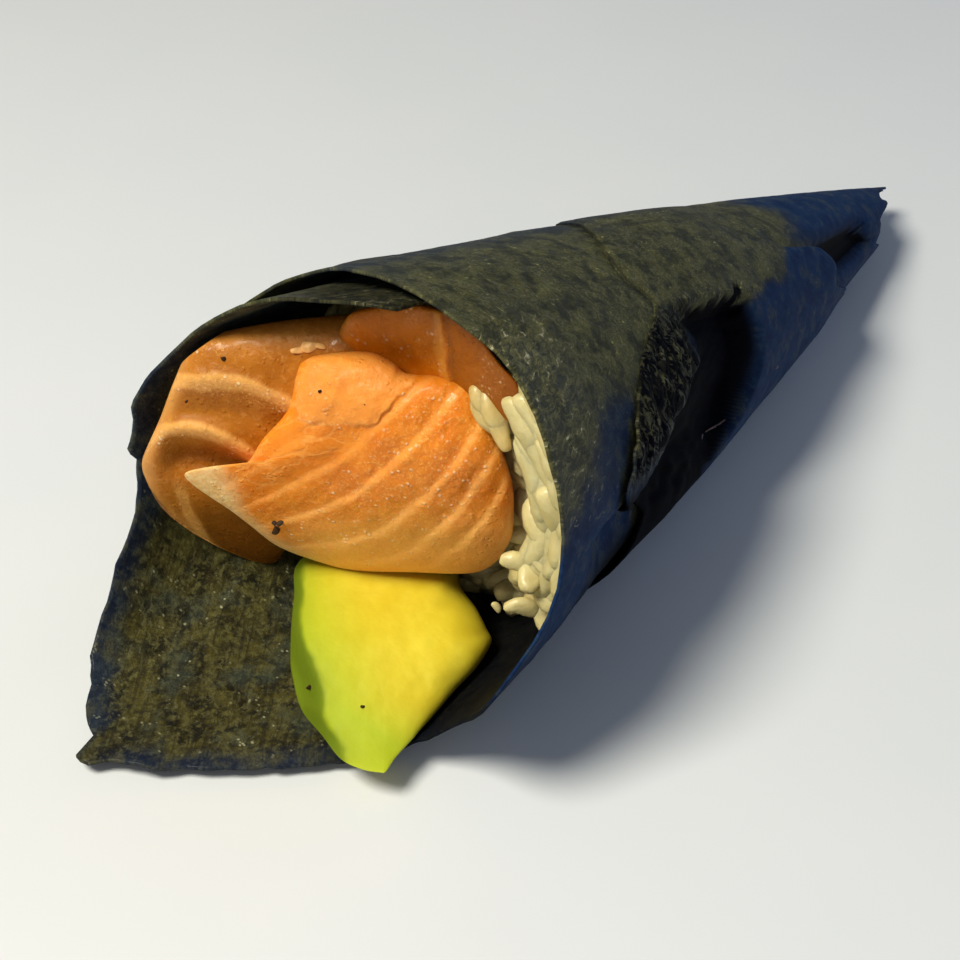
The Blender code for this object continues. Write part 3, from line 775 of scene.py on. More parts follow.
def make_slab(name, outline, centre, front, back, relief, marks, material, fullness=6.0, tuck=None,
              around=300, rings=76, back_rings=12):
    """A soft slab on the tilted plane, from the front pole out to the rim and on to the back pole.

    A point is the centre plus a share of the way to the outline, at the front or back height;
    both sides round off towards the rim by (1 - share^fullness)^0.5. Relief and marks are
    functions of (right, up, share) on the front.
    """
    edge = closed_curve(outline, around)
    centre = np.asarray(centre, float)
    out = np.sin(np.linspace(0, np.pi / 2, rings + 1))[1:]
    back_out = np.sin(np.linspace(0, np.pi / 2, back_rings + 1))[1:-1]
    share = np.concatenate([[1e-4], out, back_out[::-1], [1e-4]])
    is_front = np.arange(len(share)) <= rings
    flat = centre + (edge - centre)[None] * share[:, None, None]
    u, v = flat[..., 0], flat[..., 1]
    s = np.repeat(share[:, None], around, 1)
    top, base = front(u, v), back(u, v)
    rim = top + (base - top) * EDGE_DEPTH_SHARE
    height = np.where(is_front[:, None], top, base)
    level = rim + (height - rim) * (1 - s**fullness) ** 0.5
    level = level + np.where(is_front[:, None], relief(u, v, s), 0)
    points = FACE_CENTRE + u[..., None] * FACE_RIGHT + v[..., None] * FACE_UP + level[..., None] * FACE_OUT
    if tuck is not None:
        points = tuck(points)
    poles = np.stack([points[0].mean(0), points[-1].mean(0)])
    points = np.concatenate([points.reshape(-1, 3), poles])
    values = {key: np.ravel(mark(u, v, s) * is_front[:, None]) for key, mark in marks.items()}
    values = {key: np.append(value, [value[0], 0]) for key, value in values.items()}
    return make_piece(name, points, capped_rings(len(share), around), material, values)


def front_height(u, v):
    """Front of the middle slice: a dome that leans right and rolls under at the bottom."""
    return 9.5 + 0.258 * u + 0.648 * v - 0.0029 * u**2 - 0.0389 * v**2 - 0.01 * u * v


def front_base(u, v):
    """Back of the middle slice, which thins out towards its pale tip on the left."""
    return front_height(u, v) - 8 * (0.35 + 0.65 * smooth(u, -22, -8))


def left_height(u, v):
    """Front of the left slice: steep, because it stands upright against the left wall."""
    return 2 + 0.12 * (u + 17) + 0.8 * (v - 2) - 0.03 * (v - 2) ** 2


def back_height(u, v):
    """Front of the rear slice: parallel to the mouth and just inside it."""
    return 1.08 * u + 0.857 * v - 0.5 + 5.2 * (1 - smooth(u, -6, 2.5))


def level_height(z, v):
    """Height over the tilted plane of the level z above the table."""
    return (z - FACE_CENTRE[2] - math.cos(FACE_RISE) * v) / math.sin(FACE_RISE)


SALMON_FRONT = [(-21.7, -1.2), (-21, -2.5), (-17.6, -5), (-15.7, -6.6), (-12.9, -9), (-8.7, -10.7),
                (-4.9, -11.6), (1, -11.7), (8.5, -11.5), (11.5, -8.5), (12, -4.9), (11.6, -1.4),
                (9.9, 3), (8, 6.7), (5.5, 8.2), (1.6, 8.5), (0.1, 9.6), (-2.4, 10.7), (-6.9, 10.5),
                (-8.9, 9.8), (-9.6, 8.4), (-10.5, 5.1), (-13.2, 2.2), (-15.3, -0.3), (-18.6, -0.5)]
SALMON_LEFT = [(-26.8, 0.2), (-27.3, -2), (-26.8, -4.8), (-24.6, -7.2), (-21.6, -9.4), (-18.4, -11.3),
               (-16, -11.9), (-13.5, -10.3), (-7, -3), (-3, 4), (1, 10), (-0.5, 14.6), (-4.5, 14.6),
               (-9, 14.3), (-13.7, 13.7), (-18.8, 12.6), (-20.9, 11.1), (-22.6, 8), (-24.4, 4.3)]
SALMON_BACK = [(-5.4, 12.4), (-4.6, 11.2), (-2, 9.4), (1, 6.5), (6, 3.5), (11.2, 3.4), (12.6, 5),
               (12.2, 7.1), (10.4, 9.2), (8.5, 11.8), (6.6, 13.4), (3.7, 14.7), (0.7, 15.2),
               (-2.3, 14.9), (-4.3, 14.2)]
AVOCADO = [(-11.4, -11), (-11.5, -14.7), (-11.5, -20.4), (-11.1, -22.8), (-9.9, -26), (-7.5, -28.2),
           (-5.5, -30), (-3.3, -30.9), (-1.4, -31.2), (-0.8, -31.1), (0.1, -29.9), (1.7, -28.3),
           (4.1, -25.8), (6.1, -23.6), (8.3, -21.4), (9.8, -19), (9.3, -17.6), (8.2, -15.6),
           (6.4, -13.2), (5.8, -10), (0, -7.5), (-6, -7.5)]

# Distances of the fat lines of the middle slice from its upper left corner, with their strengths.
FRONT_LINES = ((4.3, 0.35), (8.1, 0.6), (11.8, 0.75), (16.4, 1.0), (19.6, 0.9), (22.3, 0.8))


def front_strata(u, v):
    """Distance across the flake lines: they bow towards the lower right, steeper on the left."""
    along = 0.8 * (u + 9.2) + 0.6 * (v - 7.2)
    across = 0.6 * (u + 9.2) - 0.8 * (v - 7.2)
    bow = np.where(along < 0, 0.047, 0.021) * along**2 * np.clip(across / 16, 0, 1.2)
    return across + bow + 0.35 * rough(u, v, 5, 41)


def patch(u, v):
    """1 on the paler, rough-edged piece at the top of the middle slice."""
    x = (u + 4.3) / 6.2
    y = (v - 7.3 - 0.12 * (u + 4.3)) / 4.4
    edge = (np.abs(x) ** 2.6 + np.abs(y) ** 2.6) ** (1 / 2.6)
    return 1 - smooth(edge + 0.2 * rough(u, v, 2.2, 42), 0.9, 0.97)


def front_fat(u, v, s):
    """A ribbon at each fat line, stronger and weaker by noise, a thin rim and a paler part at the
    bottom, partly painted light where the slice turns down from the lamp, and fainter threads at
    the upper left; the raised patch keeps an even share."""
    strata = front_strata(u, v)
    fat = sum(weight * ribbon(strata, place, 0.65) for place, weight in FRONT_LINES)
    fat = fat * (0.65 + 0.4 * rough(u, v, 4, 49)) + 0.6 * ribbon(s, 1.0, 0.07) * smooth(-v, 2, 8)
    streaks = 0.4 * ribbon(rough(u * 0.6, v * 1.6, 2.2, 43), 0.15, 0.14) * (1 - smooth(strata, 5, 9))
    # partly painted light: the bottom paler where the slice faces down, away from the lamp
    pale = 0.8 * smooth(-v, 3.5, 9) * smooth(u, -14, -8)
    return np.clip((fat + streaks + pale) * (1 - patch(u, v)) + 0.4 * patch(u, v), 0, 1)


def front_relief(u, v, s):
    """Flakes that each step up at a fat line and slope down to the next, a raised pale patch
    with a dent along its lower side, and a torn grainy surface at the right."""
    strata = front_strata(u, v)
    places = [place for place, weight in FRONT_LINES] + [26]
    flakes = 0
    for (place, weight), following in zip(FRONT_LINES, places[1:]):
        step = smooth(strata, place - 0.3, place + 0.3) - smooth(strata, place, following)
        flakes = flakes + 0.18 * weight * step - 0.10 * weight * bell(strata, place - 0.7, 0.6)
    grainy = smooth(strata, 7.5, 11)
    fine = (0.05 + 0.10 * grainy) * rough(u, v, 0.8, 44, 2)
    raised = patch(u, v)
    dents = 0.4 * rough(u, v, 4.5, 45) + 0.3 * raised * rough(u, v, 2.6, 47)
    return (0.24 * raised + flakes * (1 - raised) + fine + dents) * (1 - s**10)


def front_shade(u, v, s):
    """Painted shade in the groove just before each fat line, towards the right end, and a little on
    the raised patch.
    """
    strata = front_strata(u, v)
    deep = sum(weight * bell(strata, place - 1.3, 1.0) for place, weight in FRONT_LINES)
    valley = 0.14 * bell(strata, 6.3, 1.0) * (1 - smooth(-v, 2, 6))
    raised = patch(u, v)
    shade = (0.10 * deep + valley) * (1 - raised) + 0.06 * raised
    return np.clip(shade + 0.24 * smooth(u, 5, 12), 0, 1)


def front_sparkle(u, v, s):
    """Where the middle slice glistens most: the torn part, the patch's edge, along the lines."""
    strata = front_strata(u, v)
    raised = patch(u, v)
    torn = smooth(strata, 7.5, 10) * (1 - smooth(strata, 19, 22))
    glisten = 0.8 * torn + 0.5 * (1 - torn) * smooth(rough(u, v, 3, 48), 0.1, 0.5)
    return np.clip(glisten + 3.2 * raised * (1 - raised) + 0.35 * raised * smooth(-u, 4, 8), 0, 1)


def white_tip(u, v, s):
    """1 on the creamy fat tip at the left end of the middle slice."""
    rim = smooth(s, 0.88, 0.99) * (1 - smooth(u, -14, -6)) * smooth(-v, -1, 2)
    return np.maximum(1 - smooth(u + 0.9 * rough(u, v, 2, 46) + 0.3 * v, -19.6, -16.2), 0.7 * rim)


def left_bands(u, v):
    """Height over the two pale bands of the left slice, and the bands' own ridges."""
    upper = v - (7.9 - 0.09 * (u + 17) - 0.03 * (u + 17) ** 2 * (u > -17) - 0.01 * (u + 17) ** 2)
    lower = v - (3.2 - 0.055 * (u + 20.5) ** 2 - 0.15 * (u + 20.5))
    return upper, lower


def left_fat(u, v, s):
    """A ribbon on each pale band, a streak down the left end, and pale left and upper rims."""
    upper, lower = left_bands(u, v)
    wander = 0.35 * rough(u, v, 2.5, 51)
    fat = 0.9 * ribbon(upper + wander, 0, 1.1) + 1.0 * ribbon(lower + wander, 0, 1.1)
    rim = 0.6 * smooth(s, 0.80, 0.97) * (1 - smooth(u, -23, -19)) + 0.25 * bell(v, 12.8, 1.2)
    streak = 0.55 * ribbon(u + 22.6 + 0.25 * (v + 4.5) + wander, 0, 0.9) * smooth(-v, 1.5, 3.5)
    return np.clip(fat + rim + streak, 0, 1)


def left_relief(u, v, s):
    """Two folds: ridges along the pale bands and troughs below each, the lower one deep."""
    upper, lower = left_bands(u, v)
    folds = 0.5 * bell(upper, 0.2, 0.9) - 0.7 * bell(upper, -2.6, 1.6) + 0.9 * bell(lower, 0.1, 1.0)
    folds = folds - 2.0 * bell(lower, -2.8, 1.7) * smooth(u, -25.5, -22)
    return (folds + 0.10 * rough(u, v, 1.0, 52, 2) + 0.3 * rough(u, v, 5, 53)) * (1 - s**8)


def left_shade(u, v, s):
    """Painted shade in the troughs below the bands and in the low part, under the middle slice."""
    upper, lower = left_bands(u, v)
    folds = 0.22 * bell(upper, -2.4, 1.5) + 0.3 * bell(lower, -2.6, 1.4)
    low = smooth(-v, 3.0, 6.5) * (0.25 + 0.5 * smooth(u + 0.25 * (v + 4.5), -22.8, -21.2))
    return np.clip(folds + low * smooth(u, -26.5, -24), 0, 1)


def left_sparkle(u, v, s):
    """Where the left slice glistens: in patches along the bands and along its top."""
    upper, lower = left_bands(u, v)
    patchy = 0.4 + 0.9 * smooth(rough(u, v, 2.6, 55), -0.2, 0.4)
    on_bands = (ribbon(upper, -0.4, 1.3) + 1.3 * ribbon(lower, -0.6, 1.0)) * patchy
    on_top = 1.2 * bell(v, 11.3, 0.9) * smooth(rough(u, v, 3, 54), -0.1, 0.3)
    return np.clip(on_bands + on_top, 0, 1)


def back_fold(u, v):
    """Distance to the right of the fold that runs down the rear slice."""
    return u - 5.6 + 0.12 * (v - 9) + 0.5 * rough(u, v, 3, 64)


def back_fat(u, v, s):
    """A thin slanting line, a line beside the fold and a pale left end."""
    line = 0.4 * ribbon(v - 9 + 0.45 * u + rough(u, v, 3, 63), 0, 0.5)
    at_fold = 0.5 * ribbon(back_fold(u, v), -0.5, 0.5)
    return np.clip(line + at_fold + 0.4 * (1 - smooth(u, -5, -3)), 0, 1)


def back_relief(u, v, s):
    """The flesh steps down past the fold and swells again before the rice."""
    past = back_fold(u, v)
    step = -0.7 * smooth(past, -0.3, 0.5) + 0.5 * smooth(past, 0.5, 5)
    return (step + 0.35 * rough(u, v, 4, 61) + 0.08 * rough(u, v, 0.9, 62, 2)) * (1 - s**8)


def back_shade(u, v, s):
    """Painted shade to the right of the fold, under the sheet's rim, and along the top."""
    past = back_fold(u, v)
    right = 0.62 * smooth(past, -0.1, 0.5) + 0.12 * smooth(past, 2, 6)
    return np.clip(right + 0.25 * bell(v, 14.5, 1.2), 0, 1)


def back_sparkle(u, v, s):
    """Where the rear slice glistens: in scattered spots, most along the fold."""
    spots = 0.5 * smooth(rough(u, v, 2.4, 65), 0.2, 0.45)
    at_fold = 0.9 * bell(back_fold(u, v), -0.6, 0.6) * smooth(rough(u, v, 1.5, 66), -0.1, 0.3)
    return np.clip(spots + at_fold, 0, 1)


def none(u, v, s):
    """0 everywhere."""
    return u * 0


# Flesh, deeper flesh and fat of the middle, left and rear slice.
BRIGHT_SALMON = ((0.80, 0.245, 0.015), (0.70, 0.185, 0.008), (0.90, 0.43, 0.105))
PALE_SALMON = ((0.44, 0.150, 0.009), (0.37, 0.115, 0.004), (0.78, 0.40, 0.105))
AMBER_SALMON = ((0.60, 0.165, 0.002), (0.46, 0.120, 0.001), (0.72, 0.30, 0.035))


def tucked_in(points):
    """Points kept clear of the sheet round the mouth."""
    return inside_wall(points, 0.75)


def make_salmon():
    """The three slices, each with its own flake lines, folds and wet finish."""
    front = make_slab(
        "salmon_slice_front", SALMON_FRONT, (-2, 1), front_height, front_base, front_relief,
        {"fat": front_fat, "pale": white_tip, "shade": front_shade, "sparkle": front_sparkle},
        salmon_finish("salmon_front", *BRIGHT_SALMON, 0.2), around=360, rings=110)
    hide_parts("salmon_front")
    left = make_slab(
        "salmon_slice_left", SALMON_LEFT, (-14, 3), left_height, lambda u, v: left_height(u, v) - 8,
        left_relief, {"fat": left_fat, "pale": none, "shade": left_shade, "sparkle": left_sparkle},
        salmon_finish("salmon_left", *PALE_SALMON, 0.18), tuck=tucked_in)
    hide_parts("salmon_left")
    back = make_slab(
        "salmon_slice_back", SALMON_BACK, (4, 11), back_height, lambda u, v: back_height(u, v) - 6,
        back_relief, {"fat": back_fat, "pale": none, "shade": back_shade, "sparkle": back_sparkle},
        salmon_finish("salmon_back", *AMBER_SALMON, 0.2), tuck=tucked_in)
    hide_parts("salmon_back")


def avocado_ridge(v):
    """Where the cut face turns down to the skin side: further in towards the tip."""
    return -10.2 + 2.8 * smooth(-v, 16, 25) + 2.6 * smooth(-v, 25, 30.5)


def avocado_top(u, v):
    """Cut face of the wedge: it slopes down to the tip and away on the skin side."""
    top = 4.6 + 5.7 * smooth(v, -33, -15)
    skin = 2.8 * (1 - smooth(u - avocado_ridge(v), -3.0, 0.4))
    return level_height(top - skin * smooth(v, -33, -26), v)


def avocado_base(u, v):
    """Underside of the wedge, lifted at the tip."""
    return level_height(1.7 + 1.7 * (1 - smooth(v, -32, -26)), v)


def avocado_skin(u, v, s):
    """0 on the buttery middle, 1 on the green side next to the skin."""
    bays = 0.8 * rough(u, v, 3.5, 73)
    from_ridge = u - avocado_ridge(v) + bays
    return np.clip(1 - 0.7 * smooth(from_ridge, -0.5, 0.7) - 0.3 * smooth(from_ridge, 0, 3.4), 0, 1)


def avocado_lime(u, v, s):
    """How lime the yellow is: more to the left and towards the tip."""
    return np.clip(1 - smooth(u + 0.5 * (v + 20), -10, 1) + 0.6 * smooth(-v, 24, 30), 0, 1)


def avocado_right_shade(u, v, s):
    """Painted shade: the darker, browner rim on the right of the wedge, where the light falls off."""
    return 0.75 * smooth(s + 0.15 * rough(u, v, 3, 74), 0.62, 1.0) * smooth(u, 0, 6)


def avocado_relief(u, v, s):
    """Soft dents and a fine grain that die out at the rim."""
    return (0.22 * rough(u, v, 3.4, 71) + 0.03 * rough(u, v, 0.9, 72)) * (1 - s**6)


def make_avocado():
    """The wedge: its cut face up, its skin side to the left, its tip over the open corner."""
    wedge = make_slab(
        "avocado_wedge", AVOCADO, (-1, -18), avocado_top, avocado_base, avocado_relief,
        {"skin": avocado_skin, "lime": avocado_lime, "edge": avocado_right_shade}, avocado_finish())
    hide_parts("avocado")


# ---------------------------------------------------------------- rice

OUT_OF_MOUTH = np.array([[-1.0, 0, 0]])


def closing(turn):
    """The way in by one ply over the last stretch of the innermost turn, so that a ring closes."""
    return PLY_PITCH * smooth(turn, FIRST_TURN + 280, FIRST_TURN + 348)


def rice_rim(turn, inset, back=0.0):
    """Rim of the rice's front: it comes forward on the right, where it shows."""
    side = wrapped(turn)
    shown = smooth(side, -50, -8) * (1 - smooth(side, 43, 60))
    return rolled(turn, 121 - 7 * (1 - shown) - back, inset + closing(turn))


def make_rice_core(material):
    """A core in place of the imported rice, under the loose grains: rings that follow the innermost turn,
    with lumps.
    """
    turns = np.arange(FIRST_TURN, FIRST_TURN + 360, 4.0)
    slants = np.arange(54, 117, 2.5)
    turn, slant = np.meshgrid(turns, slants)
    lumps = 0.35 * rough(turn * 0.4, slant, 3.5, 81)
    loops = list(rolled(turn, np.minimum(slant, 112), 1.9 + closing(turn) + lumps))
    rim = rice_rim(turns, 1.7, 1.3)
    centre = rim.mean(0)
    loops.append(rim)
    for share in np.linspace(0.93, 0.05, 14):
        ring = centre + (rim - centre) * share
        bumps = 0.5 * rough(ring[:, 1] + 30, ring[:, 2], 3, 82)
        ring[:, 0] = ring[:, 0] + 1.5 * smooth(1 - share, 0, 0.4) + bumps
        loops.append(ring)
    loops = np.stack(loops)
    points = np.concatenate([loops.reshape(-1, 3), [loops[0].mean(0), loops[-1].mean(0)]])
    core = make_piece("rice_core", points, capped_rings(*loops.shape[:2]), material)
    return core


def grain_shape(around, rings):
    """One grain, 1 long and about half as wide: an ellipsoid, blunter at one end, slightly bent."""
    t = np.linspace(0, np.pi, rings + 2)[1:-1, None]
    a = np.linspace(0, 2 * np.pi, around, endpoint=False)[None, :]
    x = -0.5 * np.cos(t) + 0 * a
    radius = 0.215 * np.sin(t) ** 0.6 * (1 + 0.10 * np.cos(t))
    y = radius * np.cos(a) * 1.08 + 0.06 * (x**2 * 4 - 0.4)
    z = radius * np.sin(a) * 0.92
    points = np.stack([x, y, z], -1).reshape(-1, 3)
    ends = np.array([[-0.5, 0.03, 0], [0.5, 0.03, 0]])
    return np.concatenate([points, ends]), capped_rings(rings, around)


def turned_frames(direction, facing, rng):
    """Rotation matrices whose first axis is each direction and third axis leans to facing."""
    first = direction / np.linalg.norm(direction, axis=-1, keepdims=True)
    second = np.cross(facing, first)
    second = second / np.maximum(np.linalg.norm(second, axis=-1, keepdims=True), 1e-6)
    third = np.cross(first, second)
    roll = rng.uniform(-0.6, 0.6, len(first))[:, None]
    return np.stack([first, second * np.cos(roll) + third * np.sin(roll),
                     third * np.cos(roll) - second * np.sin(roll)], 1)


def along_wall(direction, places, share):
    """Directions with a share of their part away from the roll's middle line taken out."""
    upright = cone_at(slant_at(places))[2]
    arm = np.stack([0 * upright, places[:, 1] + LEAN * upright, places[:, 2] - upright], -1)
    arm = arm / np.maximum(np.linalg.norm(arm, axis=-1, keepdims=True), 1e-6)
    return direction - (share * (direction * arm).sum(-1))[:, None] * arm


def make_bits(name, places, frames, sizes, material, around=8, rings=6, dented=0.07,
              walled=True):
    """Grains or crumbs joined into one mesh: each is the one shape, sized, turned and put in its
    place, dented by noise of its position and, if walled, flattened where it meets the roll. A
    size is a length, or a length and two widths."""
    shape, faces = grain_shape(around, rings)
    sizes = np.broadcast_to(np.reshape(sizes, (len(places), -1)), (len(places), 3))
    points = np.einsum("nk,gkc->gnc", shape, frames * sizes[:, :, None]) + places[:, None, :]
    x, y, z = np.moveaxis(points, -1, 0)
    dents = np.stack([rough(y, z, 1.7, 83, 2), rough(z, x, 1.7, 84, 2), rough(x, y, 1.7, 85, 2)], -1)
    points = points + dented * np.minimum(sizes[:, 1:2, None], 4) * dents
    if walled:
        points = inside_wall(points, 0.35)
    spread = np.arange(len(places))[:, None] * len(shape)
    quads = np.array([f for f in faces if len(f) == 4])
    caps = np.array([f for f in faces if len(f) == 3])
    joined = (quads[None] + spread[..., None]).reshape(-1, 4).tolist()
    joined += (caps[None] + spread[..., None]).reshape(-1, 3).tolist()
    piece = make_piece(name, points, joined, material)
    return piece


def fill_with_grains(middle, material, rng):
    """Loose grains over the whole front: evenly spread, turned every way in the middle and along
    the sheet at the rim, and set back where the larger grains at the rim go."""
    count = 560
    turn = rng.uniform(FIRST_TURN, FIRST_TURN + 360, count)
    share = np.sqrt(rng.uniform(0.0, 1.0, count))
    side = wrapped(turn)
    places = middle + (rice_rim(turn, 1.9, 0.6) - middle) * share[:, None]
    places[:, 0] = places[:, 0] + 1.5 * smooth(1 - share, 0, 0.4) + rng.uniform(0.0, 1.6, count)
    in_view = smooth(side, -50, -30) * (1 - smooth(side, 46, 60))
    places[:, 0] = places[:, 0] + 2.4 * smooth(share, 0.62, 0.78) * in_view
    places = inside_wall(places, 1.9)
    direction = rng.normal(size=(count, 3)) * np.array([0.4, 1, 1])
    direction = along_wall(direction, places, 0.9 * smooth(share, 0.6, 0.85))
    frames = turned_frames(direction, OUT_OF_MOUTH, rng)
    make_bits("rice_grains", places, frames, rng.uniform(5.0, 6.2, count), material)


def line_the_rim(middle, material, rng):
    """Four rows of larger grains at the right of the mouth, each row further in than the last and
    the innermost one shorter; the grains lie along the rim."""
    count, row = 56, 14
    side = np.tile(np.linspace(-36, 50, row), 4) + rng.uniform(-2, 2, count)
    side[-row:] = side[-row:] * 0.75 - 6
    turn = (side - FIRST_TURN) % 360 + FIRST_TURN
    share = np.repeat([1.0, 0.92, 0.84, 0.77], row) + rng.uniform(-0.02, 0.02, count)
    places = middle + (rice_rim(turn, 1.85, 0.0) - middle) * share[:, None]
    places[:, 0] = places[:, 0] + rng.uniform(0.3, 1.3, count)
    places = inside_wall(places, 1.85)
    along = np.stack([0 * side, np.sin(np.radians(side)), np.cos(np.radians(side))], -1)
    direction = along + 0.24 * rng.normal(size=(count, 3)) * np.array([0.4, 1, 1])
    frames = turned_frames(along_wall(direction, places, 0.95), OUT_OF_MOUTH, rng)
    sizes = rng.uniform(5.8, 7.0, count)
    make_bits("rice_at_the_rim", places, frames, sizes, material, 16, 12)


# Single grains on the middle slice and below it: right, up, height over the surface, a direction
# (right, up, out) and the length.
GRAINS_ON_SLICE = [(9.2, 5.4, -0.4, 3.4, -4.4, 0, 4.6), (9.9, 4.6, 0.0, 2.4, -5.6, 0, 4.7),
                   (10.6, 2.9, 0.2, 1.6, -5.6, 0, 4.4), (9.4, 4.2, -0.6, 3.0, -4.6, 0, 4.8)]
GRAINS_BELOW = [(12.5, -10.2, -1.2, -3.4, 0.8, 1.0, 3.8), (13.9, -11.2, -0.6, -1.5, -3.0, 2, 4.8),
                (14.9, -8.8, -0.6, 0.8, -4.8, 1, 5.2), (14.4, -6.0, -0.8, 0.6, -5.2, 0.6, 5.0),
                (13.1, -15.0, -2.0, -3.6, 0.8, 0.8, 3.6), (14.9, -13.2, -1.0, 1.4, -3.4, 2, 4.6),
                (15.6, -16.3, -2.0, 0.6, -5.4, 0.6, 4.2), (10.4, -15.2, -6.4, -1, 1, 0.5, 1.5)]


def make_rice():
    """Core, loose grains over its whole front, larger ones where they show, and single ones."""
    material = rice_finish("rice")
    core = make_rice_core(material)
    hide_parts("rice")
    rng = np.random.default_rng(5)
    middle = rice_rim(np.arange(FIRST_TURN, FIRST_TURN + 360, 6.0), 1.75, 0.6).mean(0)
    fill_with_grains(middle, material, rng)
    line_the_rim(middle, material, rng)
    # grains on the slice get a painted warm glow from the salmon
    rice_with_painted_glow = rice_finish("rice_with_painted_salmon_glow", (0.93, 0.80, 0.62))
    scatter_on_face("rice_on_the_slice", GRAINS_ON_SLICE, front_height, rice_with_painted_glow, "rice", rng, 1.6)
    scatter_on_face("rice_strays", GRAINS_BELOW, below_slice, material, "rice", rng, 1.6, 1.2, 1.1, 0.1)


def below_slice(u, v):
    """The middle slice's front, carried on past its lower end."""
    return np.where(v > -3, front_height(u, v), front_height(12.0, -3.0) + 0.55 * (v + 3))


def scatter_on_face(name, bits, height, material, slot, rng, clearance=0, wide=1.0, thick=1.0,
                    dented=0.07):
    """Bits laid on the tilted plane: each is right, up, height over the surface below it, a
    direction (right, up, out) and a length in millimetres. Wide and thick scale a grain's own
    widths; a clearance keeps the bits inside the sheet."""
    u, v, over, right, up, out, length = np.array(bits).T[:, :, None]
    places = FACE_CENTRE + u * FACE_RIGHT + v * FACE_UP + (height(u, v) + over) * FACE_OUT
    frames = turned_frames(right * FACE_RIGHT + up * FACE_UP + out * FACE_OUT, FACE_OUT[None], rng)
    sizes = length * np.array([1, wide, thick])
    if clearance:
        places = inside_wall(places, clearance)
    make_bits(name, places, frames, sizes, material, 14, 10, dented, clearance > 0)


# Flecks and crumbs, listed like the single grains.
FLECKS_FRONT = [(-12.6, -7.0, -0.05, 0.4, 1.3, 0, 0.95), (-12.1, -6.3, -0.05, 1, 0.6, 0, 0.75),
                (-12.7, -6.3, -0.05, -1, 0.8, 0, 0.55), (-7.0, 6.7, 0.3, 1, 0.3, 0, 0.4),
                (-2.5, 5.5, 0.3, 1, 1, 0, 0.35)]
FLECKS_LEFT = [(-17.0, 10.3, -0.05, 1, 0.3, 0, 0.6), (-21.0, 6.1, 0.0, 1, 1, 0, 0.35)]
FLECKS_AVOCADO = [(-9.0, -23.4, 0.0, 1, 1, 0, 0.6), (-3.2, -25.0, 0.05, 1, 0, 0, 0.45)]
FAT_CRUMBS = [(-9.3, 11.3, -0.25, 1.5, 0.5, 0, 1.5), (-8.3, 11.6, -0.25, 1.5, -0.2, 0, 1.9),
              (-7.1, 11.4, -0.2, 1.3, -0.5, 0, 1.3)]
# Turn and slant of the two ends of each sliver at the lower side of the hollow.
SLIVER_TAIL_ENDS = np.array([(714.0, 83.4), (712.0, 87.6), (714.4, 82.6), (723.0, 71.6)])
SLIVER_MOUTH_ENDS = np.array([(711.8, 87.2), (710.4, 89.6), (713.4, 84.0), (722.6, 72.4)])
SLIVER_WIDTHS = [0.7, 0.6]


def make_flecks():
    """Dark flecks of seaweed on the salmon and the avocado, and fat crumbs between the slices."""
    rng = np.random.default_rng(9)
    dark = plain_finish("dark_fleck", (0.040, 0.020, 0.008), 0.5, 30)
    flake = {"wide": 1.7, "thick": 0.7, "dented": 0.25}
    scatter_on_face("dark_flecks_front", FLECKS_FRONT, front_height, dark, "nori", rng, **flake)
    scatter_on_face("dark_flecks_left", FLECKS_LEFT, left_height, dark, "nori", rng, **flake)
    scatter_on_face("dark_flecks_avocado", FLECKS_AVOCADO, avocado_top, dark, "nori", rng, **flake)
    fat = plain_finish("fat_crumb", (0.82, 0.44, 0.15), 0.3, 12)
    scatter_on_face("fat_crumbs", FAT_CRUMBS, left_height, fat, "salmon_pale", rng,
                    wide=0.9, thick=0.4, dented=0.34)
    make_slivers(rng)


def make_slivers(rng):
    """Slivers of torn seaweed, each a long crumb between its two ends on the last turn."""
    tail_ends = rolled(*SLIVER_TAIL_ENDS.T, -0.1)
    along = rolled(*SLIVER_MOUTH_ENDS.T, -0.1) - tail_ends
    lengths = np.linalg.norm(along, axis=-1, keepdims=True)
    sizes = np.concatenate([lengths, 0 * lengths + SLIVER_WIDTHS], -1)
    frames = turned_frames(along, np.array([[0, -1.0, 0.3]]), rng)
    finish = plain_finish("torn_sliver", (0.13, 0.085, 0.085), 0.3, 30)
    make_bits("torn_slivers", tail_ends + along / 2, frames, sizes, finish, 10, 6, 0.4, False)


# ---------------------------------------------------------------- stage

CAMERA_LENS = 72.19
CAMERA_DISTANCE = 0.23339
CAMERA_AIM = np.array([-93.20, 9.22, 0])


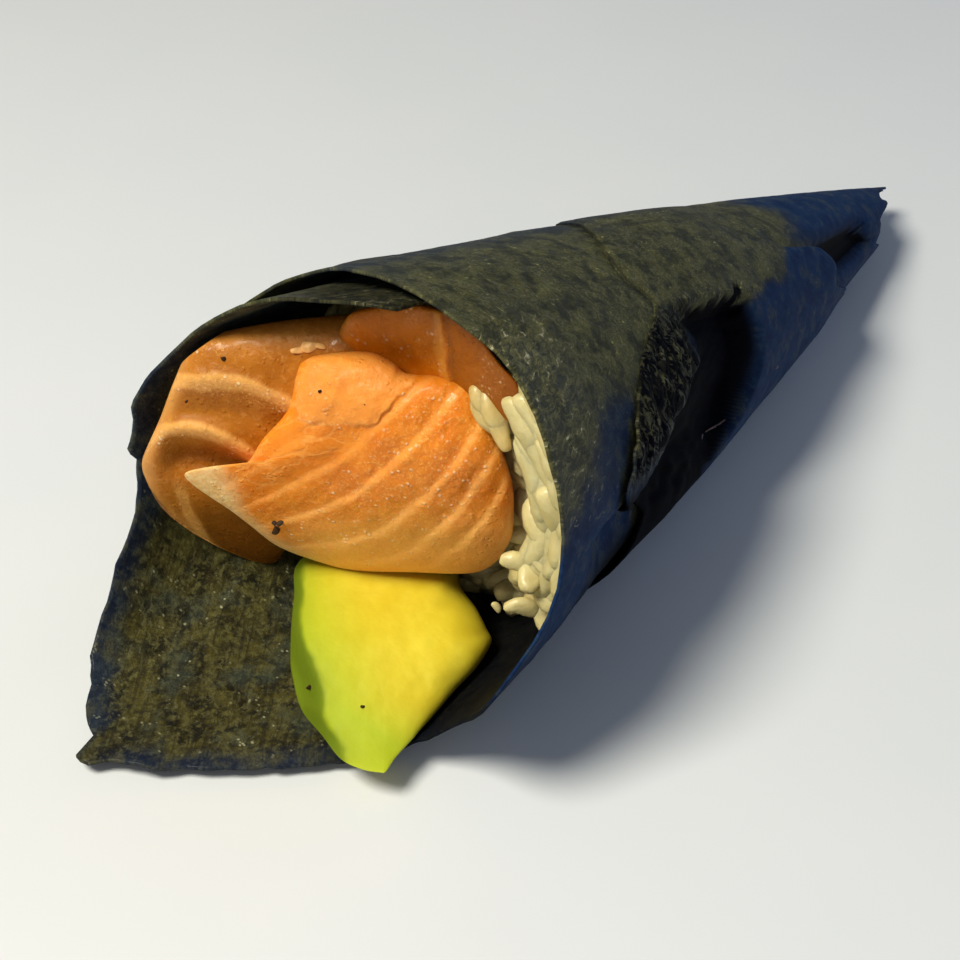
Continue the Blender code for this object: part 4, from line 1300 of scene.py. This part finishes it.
def add_lamp(name, place, aim, size, power, colour):
    """A round soft light at a place, turned to what it aims at."""
    light = bpy.data.lights.new(name, "AREA")
    light.shape = "DISK"
    light.size = size
    light.energy = power
    light.color = colour
    lamp = bpy.data.objects.new(name, light)
    lamp.location = place
    lamp.rotation_euler = (Vector(aim) - Vector(place)).to_track_quat("-Z", "Y").to_euler()
    bpy.context.scene.collection.objects.link(lamp)


def add_camera():
    """A long lens at right angles to the tilted plane, aimed at a point on the table."""
    camera = bpy.data.cameras.new("camera")
    camera.lens = CAMERA_LENS
    camera.sensor_width = 36
    camera.clip_start = 0.01
    made = bpy.data.objects.new("camera", camera)
    place = (CAMERA_AIM + SHIFT) * MM + FACE_OUT * CAMERA_DISTANCE
    turn = Matrix((FACE_RIGHT, FACE_UP, FACE_OUT)).transposed().to_4x4()
    made.matrix_world = Matrix.Translation(place) @ turn
    bpy.context.scene.collection.objects.link(made)
    bpy.context.scene.camera = made


def make_stage():
    """Pale table, a warm light from above, a soft fill, a cool rim light, and the camera."""
    f = Finish("table")
    clouds = f.noise(f.place(), 0.4, 2)
    f.wear(Base_Color=f.mix(clouds, (0.66, 0.70, 0.76), (0.70, 0.73, 0.78)), Roughness=0.6)
    mesh = bpy.data.meshes.new("table")
    mesh.from_pydata([(-2, -2, 0), (2, -2, 0), (2, 2, 0), (-2, 2, 0)], [], [(0, 1, 2, 3)])
    mesh.materials.append(f.material)
    table = bpy.data.objects.new("table", mesh)
    bpy.context.scene.collection.objects.link(table)

    add_lamp("key", (-0.29, 0.08, 0.47), (0, 0, 0.02), 0.20, 3.6, (1.0, 0.94, 0.78))
    add_lamp("fill", (-0.45, -0.20, 0.30), (-0.02, 0, 0.02), 0.5, 0.3, (1.0, 0.95, 0.88))
    add_lamp("rim", (0.35, -0.20, 0.20), (0, 0, 0.02), 0.4, 0.35, (0.45, 0.65, 1.0))
    world = bpy.data.worlds.new("studio")
    world.use_nodes = True
    background = world.node_tree.nodes["Background"]
    background.inputs["Color"].default_value = (0.90, 0.94, 1.0, 1)
    background.inputs["Strength"].default_value = 0.12
    bpy.context.scene.world = world
    bpy.context.scene.view_settings.view_transform = "Standard"
    add_camera()


make_nori()
make_salmon()
make_avocado()
make_rice()
make_flecks()
make_stage()

bpy.context.view_layer.update()
